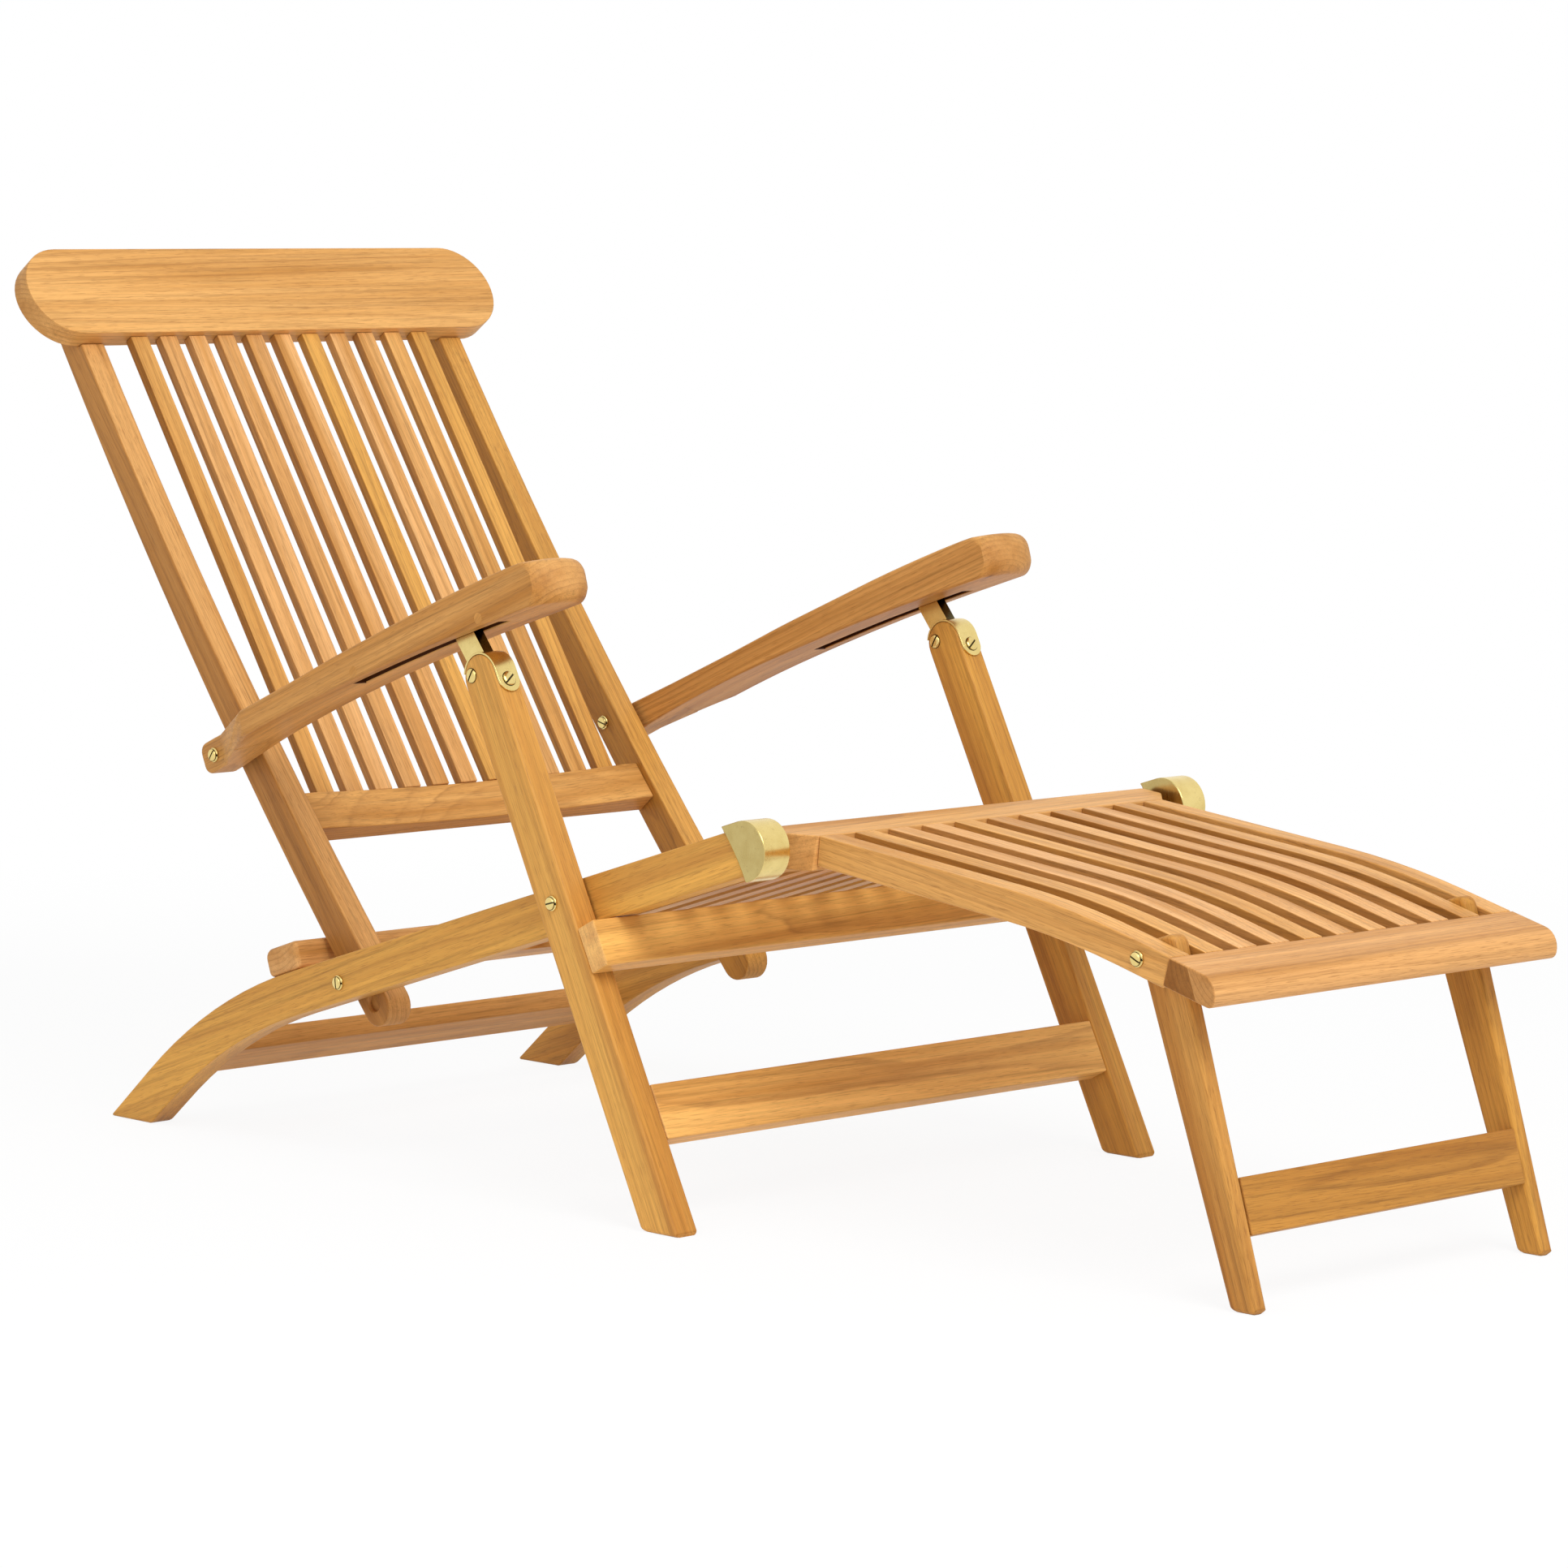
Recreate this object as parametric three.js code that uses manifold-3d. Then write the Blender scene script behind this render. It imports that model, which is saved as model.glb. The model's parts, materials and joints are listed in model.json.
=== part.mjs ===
// Folding steamer deck chair in teak with brass fittings.
// X runs forward from head to feet, Y to the sitter's left, Z up, in millimetres.
// Side profiles are drawn in the X and Z plane and extruded across the chair.

import * as THREE from 'three';
import { mergeVertices } from 'three/addons/utils/BufferGeometryUtils.js';
import Module from 'manifold-3d';

const wasm = await Module();
wasm.setup();

// Shared clearances and facet counts
const fitGap = 0.3;
const sideGap = 0.6;
const overrun = 12;
const mergeDistance = 1e-4;
const arcTolerance = 0.12;
const capCurveSteps = 5;
const armEdgeSteps = 24;
const quarterTurn = 90;
const halfTurn = 180;
const turnedSides = 20;

// Hinge between seat and footrest, the datum of all side profiles
const hingeX = 188;
const hingeZ = 325;
const hingeDrop = 2;
const hingePinRadius = 5;
const hingePinReach = 16;
const hingePinSeat = 12;

// Seat rails, which sweep down into the rear feet
const seatHalfWidth = 240;
const seatRailThick = 26;
const seatRailDepth = 40;
const seatRailSlope = 16.7;
const seatRailRun = 630;
const seatRailBendRadius = 590;
const rearFootSlope = 39.5;
const rearFootRun = 60;

// Brass caps on the front ends of the seat rails
const capRadius = 25.5;
const capCheek = 1.5;
const capTopLength = 21;
const capBottomLength = 5;
const capCheekBow = 4;

// Rear stretcher between the rear feet
const rearStretcherPlace = 806;
const rearStretcherDepth = 45;
const rearStretcherThick = 20;

// Stop rail that the reclined back leans on
const stopRailPlace = 636;
const stopRailWidth = 45;
const stopRailThick = 26;
const stopRailRound = 9;

// Seat panel of lengthwise slats between two cross rails
const seatFrontRailPlace = 35;
const seatFrontRailWidth = 44;
const seatRearRailPlace = 412;
const seatRearRailWidth = 50;
const seatCrossRailThick = 20;
const seatPanelRise = 9;
const seatSlatCount = 11;
const seatSlatWidth = 22;
const seatSlatMargin = 45;
const seatSlatThick = 14;

// Back pivot and back rails, bowed backward
const backPivotX = -348;
const backPivotZ = 163;
const backRailOffset = 9;
const backRailGap = 6.5;
const backRailThick = 27;
const backRailLean = 131.5;
const backRailBowRadius = 5000;
const backRailLength = 776;
const backRailTail = 32;
const backRailFootDepth = 36;
const backRailHeadDepth = 28;
const tailRecessRadius = 8;
const tailRecessDepth = 4;
const tailRecessPlace = 27;

// Head rail with half-round ends
const headRailDrop = 25.7;
const headRailForward = 32;
const headRailHeight = 95;
const headRailThick = 24;
const headRailOverhang = 43.5;
const headRailLean = 123.8;
const headSlatInset = 12;

// Hollowed lower rail of the back
const backCrossPlace = 157;
const backCrossHeight = 40;
const backCrossThick = 24;
const backCrossInset = 6;
const backCrossHollow = 8;
const backCrossHollowMargin = 14;

// Back slats
const backSlatCount = 11;
const backSlatWidth = 20;
const backSlatThick = 10;

// Arms
const armPivotX = -524;
const armPivotZ = 356;
const armPivotDrop = 6.7;
const armWidth = 62;
const armRearWidth = 29;
const armTaperLength = 91;
const armRearFlat = 13;
const armLength = 533;
const armLean = 23.4;
const armDroop = 7;
const armTail = 19;
const armRearRound = 9;
const armFrontRound = 14;
const armNoseBulge = 19;
const armSlotStart = 243;
const armSlotEnd = 452;
const armSlotWidth = 14;
const armSlotDepth = 19;

// Heights of the arm's top and bottom edges over its route, at shares of its length
const armEdgeShares = [0, 0.14, 0.3, 0.45, 0.6, 0.73, 0.88, 1];
const armTopHeights = [8.4, 6.5, 7, 10, 12.8, 16.2, 19, 20];
const armBottomHeights = [-21, -17.4, -16.2, -16.6, -17.2, -18, -19, -19.5];

// Front legs
const legPivotX = -23;
const legPivotZ = 267;
const legLean = 116.8;
const legDepth = 40;
const legThick = 25;
const legGap = 2.2;
const legRise = 208.6;

// Boards of the front leg frame, placed below the pivot along the legs
const upperBoardPlace = 31.5;
const upperBoardHeight = 41;
const upperBoardThick = 22;
const legStretcherPlace = 174.5;
const legStretcherHeight = 49;
const legStretcherThick = 22;

// Brass brackets on the leg tops
const strapThick = 1.8;
const strapWidth = 23;
const strapSweep = 150;
const earDrop = 11;
const tongueReach = 46;
const tongueLean = 129;
const tongueRadius = 12;
const tongueThick = 11;

// Footrest, whose top edge is the datum of its profile
const footrestRear = 165;
const footrestRearTop = 343.5;
const footrestSlope = 6.5;
const footrestToeSlope = 15;
const footrestRearWidth = 51;
const footrestRearThick = 30;
const footrestRearRound = 9;
const footrestRearChamfer = 21;
const footrestSideGap = 10;
const footrestRun = 266;
const footrestBendRadius = 900;
const footrestToeRun = 50;
const footrestRailInset = 22;
const footrestRailThick = 24;
const footrestRailDepth = 26;
const footrestNoseWidth = 54;
const footrestNoseThick = 24;
const footrestNoseTopRound = 17;
const footrestNoseBottomRound = 7;
const footrestNoseOverhang = 1;
const footrestSlatCount = 9;
const footrestSlatClearance = 0.4;
const footrestSlatThick = 16;

// Footrest legs, wider at the top than at the floor
const footLegPivotX = 575;
const footLegPivotZ = 271;
const footLegThick = 16;
const footLegFootX = 665;
const footLegFootWidth = 26;
const footLegTopWidth = 42;
const footLegTopRise = 14;
const footLegTopRound = 9;
const footStretcherPlace = 182;
const footStretcherHeight = 46;
const footStretcherThick = 18;

// Slotted brass bolts
const boltRadius = 4;
const boltHeadRadius = 6.8;
const boltHeadHeight = 2.2;
const boltHeadChamfer = 1.2;
const boltSlotWidth = 1.6;
const boltSlotDepth = 1;
const boltEndWood = 3;

// Finishes
const teakColour = 0xc8935a;
const brassColour = 0xc9b273;
const teak = () => new THREE.MeshStandardMaterial({ color: teakColour, roughness: 0.55, metalness: 0 });
const brass = () => new THREE.MeshStandardMaterial({ color: brassColour, roughness: 0.25, metalness: 1 });

// Places worked out from the sizes
const seatRailOuter = seatHalfWidth + seatRailThick;
const backRailOuter = seatHalfWidth - backRailGap;
const backRailInner = backRailOuter - backRailThick;
const headRailHalfLength = seatHalfWidth + headRailOverhang;
const armInner = seatHalfWidth;
const armRearOuter = armInner + armRearWidth;
const armOuter = armInner + armWidth;
const footrestRearHalfLength = seatHalfWidth - footrestSideGap;
const footrestRailOuter = footrestRearHalfLength - footrestRailInset;
const footrestRailInner = footrestRailOuter - footrestRailThick;
const footLegOuter = footrestRailInner - sideGap;
const footLegInner = footLegOuter - footLegThick;
const footrestSlatGap = footLegThick + sideGap + footrestSlatClearance;
const footrestSlatWidth =
  (2 * footrestRailInner - (footrestSlatCount + 1) * footrestSlatGap) / footrestSlatCount;
const legInner = seatRailOuter + legGap;
const legOuter = legInner + legThick;
const legMiddle = (legInner + legOuter) / 2;
const headHalf = headRailHeight / 2;
const backPivot = point(backPivotX, backPivotZ);
const armPivot = point(armPivotX, armPivotZ);
const legPivot = point(legPivotX, legPivotZ);
const footLegPivot = point(footLegPivotX, footLegPivotZ);
const hinge = point(hingeX, hingeZ);

// Plane helpers
function point(x, z) {
  return new THREE.Vector2(x, z);
}

function polar(degrees, distance) {
  const turn = THREE.MathUtils.degToRad(degrees);
  return point(Math.cos(turn) * distance, Math.sin(turn) * distance);
}

function moved(from, degrees, distance) {
  return from.clone().add(polar(degrees, distance));
}

function midpoint(a, b) {
  return a.clone().add(b).divideScalar(2);
}

function toFloor(from, degrees) {
  const direction = polar(degrees, 1);
  return from.clone().addScaledVector(direction, -from.y / direction.y);
}

// How many chords keep an arc within the tolerance
function chordCount(radius, degrees) {
  const step = 2 * THREE.MathUtils.radToDeg(Math.acos(1 - arcTolerance / radius));
  return Math.max(2, Math.ceil(Math.abs(degrees) / step));
}

function arcPoints(centre, radius, fromDegrees, toDegrees) {
  const sweep = toDegrees - fromDegrees;
  const count = chordCount(radius, sweep);
  return Array.from({ length: count + 1 }, (unused, i) =>
    moved(centre, fromDegrees + (sweep * i) / count, radius));
}

// A half round facing along a heading
function endRound(centre, radius, heading) {
  return arcPoints(centre, radius, heading - quarterTurn, heading + quarterTurn);
}

// A route is a start, a heading and stretches of length and turn, where a turn bends evenly
function route(start, heading, stretches) {
  return { start, heading, stretches };
}

function stationAt(path, distance) {
  const place = path.start.clone();
  let heading = path.heading;
  let left = distance;
  path.stretches.forEach(([length, turn], i) => {
    const last = i === path.stretches.length - 1;
    const run = last ? left : Math.min(left, length);
    const bend = (turn * run) / length;
    const halfBend = THREE.MathUtils.degToRad(bend) / 2;
    const chord = halfBend === 0 ? run : (run * Math.sin(halfBend)) / halfBend;
    place.add(polar(heading + bend / 2, chord));
    heading += bend;
    left -= run;
  });
  return { place, heading };
}

function offsetAt(path, distance, offset) {
  const { place, heading } = stationAt(path, distance);
  return moved(place, heading + quarterTurn, offset);
}

function distancesAlong(path, from, to) {
  const marks = [];
  let reached = 0;
  path.stretches.forEach(([length, turn]) => {
    const count = turn === 0 ? 1 : chordCount(length / Math.abs(THREE.MathUtils.degToRad(turn)), turn);
    for (let i = 1; i <= count; i += 1) marks.push(reached + (length * i) / count);
    reached += length;
  });
  return [from, ...marks.filter((mark) => mark > from && mark < to), to];
}

// One edge of a band along a route, at an offset that may change with distance
function edgeAlong(path, from, to, offset) {
  const offsetFor = typeof offset === 'function' ? offset : () => offset;
  return distancesAlong(path, from, to).map((distance) => offsetAt(path, distance, offsetFor(distance)));
}

function band(path, from, to, leftOffset, rightOffset) {
  return [...edgeAlong(path, from, to, rightOffset), ...edgeAlong(path, from, to, leftOffset).reverse()];
}

// Rounds chosen corners of a polygon; radii are listed by corner number
function roundCorners(points, radii) {
  return points.flatMap((corner, i) => {
    const radius = radii[i];
    if (!radius) return [corner];
    const before = points[(i + points.length - 1) % points.length].clone().sub(corner).normalize();
    const after = points[(i + 1) % points.length].clone().sub(corner).normalize();
    const half = Math.acos(THREE.MathUtils.clamp(before.dot(after), -1, 1)) / 2;
    const reach = radius / Math.tan(half);
    const start = corner.clone().addScaledVector(before, reach);
    const end = corner.clone().addScaledVector(after, reach);
    const centre = corner.clone().add(before.clone().add(after).setLength(radius / Math.sin(half)));
    const startAngle = start.clone().sub(centre).angle();
    const sweep = THREE.MathUtils.euclideanModulo(
      end.clone().sub(centre).angle() - startAngle + Math.PI, 2 * Math.PI) - Math.PI;
    const startDegrees = THREE.MathUtils.radToDeg(startAngle);
    return arcPoints(centre, radius, startDegrees, startDegrees + THREE.MathUtils.radToDeg(sweep));
  });
}

// Solids
function solidOf(geometry) {
  const bare = geometry.clone();
  bare.deleteAttribute('normal');
  bare.deleteAttribute('uv');
  const merged = mergeVertices(bare, mergeDistance);
  return new wasm.Manifold(new wasm.Mesh({
    numProp: 3,
    vertProperties: new Float32Array(merged.attributes.position.array),
    triVerts: new Uint32Array(merged.index.array),
  }));
}

function geometryOf(solid) {
  const mesh = solid.getMesh();
  const geometry = new THREE.BufferGeometry();
  geometry.setAttribute('position', new THREE.BufferAttribute(mesh.vertProperties, 3));
  geometry.setIndex(new THREE.BufferAttribute(mesh.triVerts, 1));
  geometry.computeVertexNormals();
  return geometry;
}

// Extrudes a side profile across the chair from one Y to another
function plate(profile, fromY, toY) {
  const options = { depth: toY - fromY, bevelEnabled: false };
  const geometry = new THREE.ExtrudeGeometry(new THREE.Shape(profile), options);
  return solidOf(geometry.rotateX(Math.PI / 2).translate(0, toY, 0));
}

// Extrudes an outline drawn across the chair and along a heading, towards the front of that heading
function extruded(outline, depth, place, heading, middleY = 0) {
  const geometry = new THREE.ExtrudeGeometry(new THREE.Shape(outline), { depth, bevelEnabled: false });
  const up = polar(heading, 1);
  const front = polar(heading - quarterTurn, 1);
  const placing = new THREE.Matrix4().makeBasis(
    new THREE.Vector3(0, 1, 0), new THREE.Vector3(up.x, 0, up.y), new THREE.Vector3(front.x, 0, front.y));
  placing.setPosition(place.x, middleY, place.y);
  return solidOf(geometry.applyMatrix4(placing));
}

function disc(centre, radius, fromY, toY) {
  const geometry = new THREE.CylinderGeometry(radius, radius, toY - fromY, turnedSides);
  return solidOf(geometry.translate(centre.x, (fromY + toY) / 2, centre.y));
}

// A turned pin along Y; sections are [radius, start, end] in order
function turned(centre, sections) {
  const profile = sections.flatMap(([radius, start, end]) => [point(radius, start), point(radius, end)]);
  const first = sections[0][1];
  const last = sections[sections.length - 1][2];
  const closed = [point(0, first), ...profile, point(0, last)];
  return solidOf(new THREE.LatheGeometry(closed, turnedSides).translate(centre.x, 0, centre.y));
}

function boltHole(centre, fromY, toY) {
  return disc(centre, boltRadius + fitGap, fromY, toY);
}

// A bolt with a slotted head at the outer face, and a nut like it where innerFace is open
function bolt(centre, innerFace, outerFace, options) {
  const seat = outerFace + fitGap;
  const top = seat + boltHeadHeight;
  const sections = [];
  if (options.nut) {
    const nutSeat = innerFace - fitGap;
    sections.push([boltHeadRadius - boltHeadChamfer, nutSeat - boltHeadHeight, nutSeat - boltHeadHeight]);
    sections.push([boltHeadRadius, nutSeat - boltHeadHeight + boltHeadChamfer, nutSeat]);
    sections.push([boltRadius, nutSeat, options.collar ? options.collar[0] : seat]);
  } else {
    sections.push([boltRadius, innerFace, seat]);
  }
  if (options.collar) {
    sections.push([boltHeadRadius, options.collar[0], options.collar[1]]);
    sections.push([boltRadius, options.collar[1], seat]);
  }
  sections.push([boltHeadRadius, seat, top - boltHeadChamfer]);
  sections.push([boltHeadRadius - boltHeadChamfer, top, top]);
  const half = boltSlotWidth / 2;
  const slotEnd = point(boltHeadRadius + overrun, 0);
  const slotProfile = [
    centre.clone().sub(slotEnd).add(point(0, -half)),
    centre.clone().add(slotEnd).add(point(0, -half)),
    centre.clone().add(slotEnd).add(point(0, half)),
    centre.clone().sub(slotEnd).add(point(0, half)),
  ];
  let solid = turned(centre, sections).subtract(plate(slotProfile, top - boltSlotDepth, top + overrun));
  if (options.nut) {
    const nutTop = innerFace - fitGap - boltHeadHeight;
    solid = solid.subtract(plate(slotProfile, nutTop - overrun, nutTop + boltSlotDepth));
  }
  return solid;
}

const chair = new THREE.Group();

function add(name, solid, material) {
  const mesh = new THREE.Mesh(geometryOf(solid), material);
  mesh.name = name;
  chair.add(mesh);
  return mesh;
}

// Adds the piece on the left and its mirror image on the right
function addPair(name, solid, finish) {
  add(`left_${name}`, solid, finish());
  add(`right_${name}`, solid, finish()).scale.y = -1;
}

// Seat rails
const seatBend = rearFootSlope - seatRailSlope;
const seatRoute = route(point(hingeX, hingeZ + hingeDrop), halfTurn + seatRailSlope, [
  [seatRailRun, 0],
  [THREE.MathUtils.degToRad(seatBend) * seatRailBendRadius, seatBend],
  [rearFootRun, 0],
]);
const seatBendEnd = seatRoute.stretches[0][0] + seatRoute.stretches[1][0];
const seatHalf = seatRailDepth / 2;

// The half round that closes a band at its start
function frontRound(centre, radius, heading) {
  return arcPoints(centre, radius, heading - quarterTurn, heading - quarterTurn - halfTurn);
}

function seatRailProfile(growth) {
  const half = seatHalf + growth;
  const footHeading = seatRoute.heading + seatBend;
  const top = edgeAlong(seatRoute, 0, seatBendEnd, -half);
  const bottom = edgeAlong(seatRoute, 0, seatBendEnd, half);
  return [
    ...top.reverse(),
    ...frontRound(seatRoute.start, half, seatRoute.heading).slice(1, -1),
    ...bottom,
    toFloor(offsetAt(seatRoute, seatBendEnd, half), footHeading),
    toFloor(offsetAt(seatRoute, seatBendEnd, -half), footHeading),
  ];
}

function seatRail() {
  return plate(seatRailProfile(0), seatHalfWidth, seatRailOuter)
    .subtract(boltHole(backPivot, seatHalfWidth - overrun, seatRailOuter + overrun))
    .subtract(boltHole(legPivot, seatHalfWidth - overrun, seatRailOuter + overrun))
    .subtract(disc(hinge, hingePinRadius + fitGap, seatHalfWidth - overrun,
      seatHalfWidth + hingePinSeat + fitGap));
}
addPair('seat_rail', seatRail(), teak);

// Brass caps, hollow over the rounded rail ends, with bowed cheek edges
function hingeCap() {
  const rearTop = offsetAt(seatRoute, capTopLength, -capRadius);
  const rearBottom = offsetAt(seatRoute, capBottomLength, capRadius);
  const bow = moved(midpoint(rearTop, rearBottom), seatRoute.heading, -capCheekBow);
  const rearCurve = new THREE.QuadraticBezierCurve(rearBottom, bow, rearTop).getPoints(capCurveSteps);
  const front = frontRound(seatRoute.start, capRadius, seatRoute.heading);
  return plate([...front, ...rearCurve], seatHalfWidth - fitGap - capCheek, seatRailOuter + fitGap + capCheek)
    .subtract(plate(seatRailProfile(fitGap), seatHalfWidth - fitGap, seatRailOuter + fitGap))
    .subtract(disc(hinge, hingePinRadius + fitGap, seatHalfWidth - overrun, seatHalfWidth));
}
addPair('hinge_cap', hingeCap(), brass);

// Hinge pins from the seat rails into the footrest's rear rail
const hingePinInner = footrestRearHalfLength - hingePinReach;
addPair('hinge_pin', turned(hinge, [[hingePinRadius, hingePinInner, seatHalfWidth + hingePinSeat]]), brass);

// Cross pieces of the seat frame
const betweenSeatRails = seatHalfWidth - fitGap;

function acrossSeat(from, to, below, above, halfLength) {
  return plate(band(seatRoute, from, to, below, -above), -halfLength, halfLength);
}

add('rear_stretcher', acrossSeat(
  rearStretcherPlace - rearStretcherDepth / 2,
  rearStretcherPlace + rearStretcherDepth / 2,
  rearStretcherThick / 2, rearStretcherThick / 2, betweenSeatRails), teak());

function backStopRail() {
  const low = -seatHalf - fitGap;
  const high = low - stopRailThick;
  const near = stopRailPlace - stopRailWidth / 2;
  const far = stopRailPlace + stopRailWidth / 2;
  const corners = [
    offsetAt(seatRoute, near, low),
    offsetAt(seatRoute, near, high),
    offsetAt(seatRoute, far, high),
    offsetAt(seatRoute, far, low),
  ];
  return plate(roundCorners(corners, [0, 0, stopRailRound, 0]), -seatRailOuter, seatRailOuter);
}
add('back_stop_rail', backStopRail(), teak());

// Seat panel: slats let into two cross rails
function seatPanel() {
  const below = seatCrossRailThick - seatPanelRise;
  const slatBelow = seatSlatThick - seatPanelRise;
  const frontEnd = seatFrontRailPlace + seatFrontRailWidth;
  const rearEnd = seatRearRailPlace + seatRearRailWidth;
  const front = acrossSeat(seatFrontRailPlace, frontEnd, below, seatPanelRise, betweenSeatRails);
  const rear = acrossSeat(seatRearRailPlace, rearEnd, below, seatPanelRise, betweenSeatRails);
  const slatProfile = band(seatRoute, frontEnd - overrun, seatRearRailPlace + overrun,
    slatBelow, -seatPanelRise);
  const pitch = (2 * (seatHalfWidth - seatSlatMargin)) / (seatSlatCount - 1);
  let panel = front.add(rear);
  for (let i = 0; i < seatSlatCount; i += 1) {
    const middle = (i - (seatSlatCount - 1) / 2) * pitch;
    panel = panel.add(plate(slatProfile, middle - seatSlatWidth / 2, middle + seatSlatWidth / 2));
  }
  return panel;
}
add('seat_panel', seatPanel(), teak());

// Head rail, placed from the upper ends of the back rails
const backBow = -THREE.MathUtils.radToDeg(backRailLength / backRailBowRadius);
const backStart = moved(backPivot, halfTurn, backRailOffset);
const backRoute = route(backStart, backRailLean, [[backRailLength, backBow]]);
const headUp = headRailLean;
const headFront = headRailLean - quarterTurn;
const headCentre = offsetAt(backRoute, backRailLength - headRailDrop, -headRailForward);
const headFoot = moved(headCentre, headUp, -headHalf);

function headRailSolid(growth) {
  const straight = headRailHalfLength - headHalf;
  const half = headHalf + growth;
  const outline = [
    ...endRound(point(straight, 0), half, 0),
    ...endRound(point(-straight, 0), half, halfTurn),
  ];
  const depth = headRailThick + growth;
  return extruded(outline, depth, moved(headCentre, headFront, -depth), headUp);
}
add('head_rail', headRailSolid(0), teak());

// Back rails, half lapped behind the head rail
const backHalfAt = (distance) => THREE.MathUtils.lerp(
  backRailFootDepth, backRailHeadDepth, THREE.MathUtils.clamp(distance / backRailLength, 0, 1)) / 2;

function backRail() {
  const tailCentre = moved(backStart, backRailLean, -backRailTail);
  const outline = [
    ...edgeAlong(backRoute, 0, backRailLength, (distance) => -backHalfAt(distance)),
    ...edgeAlong(backRoute, 0, backRailLength, backHalfAt).reverse(),
    ...endRound(tailCentre, backRailFootDepth / 2, backRailLean + halfTurn),
  ];
  const recess = moved(backStart, backRailLean, -tailRecessPlace);
  return plate(outline, backRailInner, backRailOuter)
    .subtract(headRailSolid(fitGap))
    .subtract(boltHole(backPivot, backRailInner - overrun, backRailOuter + overrun))
    .subtract(boltHole(armPivot, backRailInner - overrun, backRailOuter + overrun))
    .subtract(disc(recess, tailRecessRadius, backRailOuter - tailRecessDepth, backRailOuter + overrun));
}
addPair('back_rail', backRail(), teak);

// Lower rail of the back, its front face hollowed across the width
function backCrossRail() {
  const halfLength = backRailInner - fitGap;
  const frontOffset = (distance) => -backHalfAt(distance) + backCrossInset;
  const rearOffset = (distance) => frontOffset(distance) + backCrossThick;
  const end = backCrossPlace + backCrossHeight;
  const block = plate(band(backRoute, backCrossPlace, end, rearOffset, frontOffset), -halfLength, halfLength);
  const chord = halfLength - backCrossHollowMargin;
  const radius = (chord * chord + backCrossHollow * backCrossHollow) / (2 * backCrossHollow);
  const reach = THREE.MathUtils.radToDeg(Math.asin(chord / radius));
  const scoop = arcPoints(point(0, radius - backCrossHollow), radius, -quarterTurn - reach, -quarterTurn + reach);
  const height = backCrossHeight + 2 * overrun;
  const geometry = new THREE.ExtrudeGeometry(new THREE.Shape(scoop), { depth: height, bevelEnabled: false });
  const { heading } = stationAt(backRoute, backCrossPlace + backCrossHeight / 2);
  const place = offsetAt(backRoute, backCrossPlace, frontOffset(backCrossPlace));
  const up = new THREE.Vector3(polar(heading, 1).x, 0, polar(heading, 1).y);
  const front = new THREE.Vector3(polar(heading - quarterTurn, 1).x, 0, polar(heading - quarterTurn, 1).y);
  const placing = new THREE.Matrix4().makeBasis(new THREE.Vector3(0, -1, 0), front, up);
  placing.setPosition(place.x, 0, place.y);
  return block.subtract(solidOf(geometry.translate(0, 0, -overrun).applyMatrix4(placing)));
}
add('back_cross_rail', backCrossRail(), teak());

// Back slats, straight between the two rails
const slatFoot = offsetAt(backRoute, backCrossPlace + backCrossHeight,
  -backHalfAt(backCrossPlace) + backCrossInset + backCrossThick / 2);
const slatHead = moved(headFoot, headFront, -headSlatInset);
const slatHeading = THREE.MathUtils.radToDeg(slatHead.clone().sub(slatFoot).angle());
const backSlatPitch = 2 * backRailInner / (backSlatCount + 1);

function backSlatSolid(middle) {
  const length = slatHead.distanceTo(slatFoot);
  const path = route(slatFoot, slatHeading, [[length, 0]]);
  const half = backSlatThick / 2;
  const slat = plate(band(path, -overrun, length + overrun, half, -half),
    middle - backSlatWidth / 2, middle + backSlatWidth / 2);
  return slat.subtract(endCutter(slatHead, headUp)).subtract(endCutter(slatFoot, footCutHeading));
}

// A block whose near face passes just short of a place, to trim a slat square to its rail
function endCutter(place, heading) {
  const side = backRailFootDepth;
  const start = moved(place, heading, -fitGap);
  const path = route(start, heading, [[2 * side, 0]]);
  return plate(band(path, 0, 2 * side, side, -side), -seatHalfWidth, seatHalfWidth);
}
const footCutHeading = halfTurn + stationAt(backRoute, backCrossPlace + backCrossHeight).heading;

for (let i = 0; i < backSlatCount; i += 1) {
  const middle = (i - (backSlatCount - 1) / 2) * backSlatPitch;
  add(`back_slat_${i + 1}`, backSlatSolid(middle), teak());
}

// Bolts of the back and of the arms, with a collar in the gap between the rails
addPair('back_bolt', bolt(backPivot, backRailInner, seatRailOuter,
  { nut: true, collar: [backRailOuter + fitGap, seatHalfWidth - fitGap] }), brass);

// Arms: the side profile cut to the plan outline
const armStart = moved(armPivot, armLean + quarterTurn, armPivotDrop);
const armRoute = route(armStart, armLean, [[armLength, -armDroop]]);

// The height of an edge of the arm at a distance, on a smooth curve through its listed heights
function armEdge(heights) {
  const marks = armEdgeShares.map((share, i) => point(share * armLength, heights[i]));
  const curve = new THREE.SplineCurve(marks).getPoints(armEdgeSteps);
  return (distance) => {
    const next = Math.max(1, curve.findIndex((mark) => mark.x >= distance));
    const [before, after] = [curve[next - 1], curve[next]];
    const share = THREE.MathUtils.clamp((distance - before.x) / (after.x - before.x), 0, 1);
    return THREE.MathUtils.lerp(before.y, after.y, share);
  };
}
const armTopAt = armEdge(armTopHeights);
const armBottomAt = armEdge(armBottomHeights);

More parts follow.
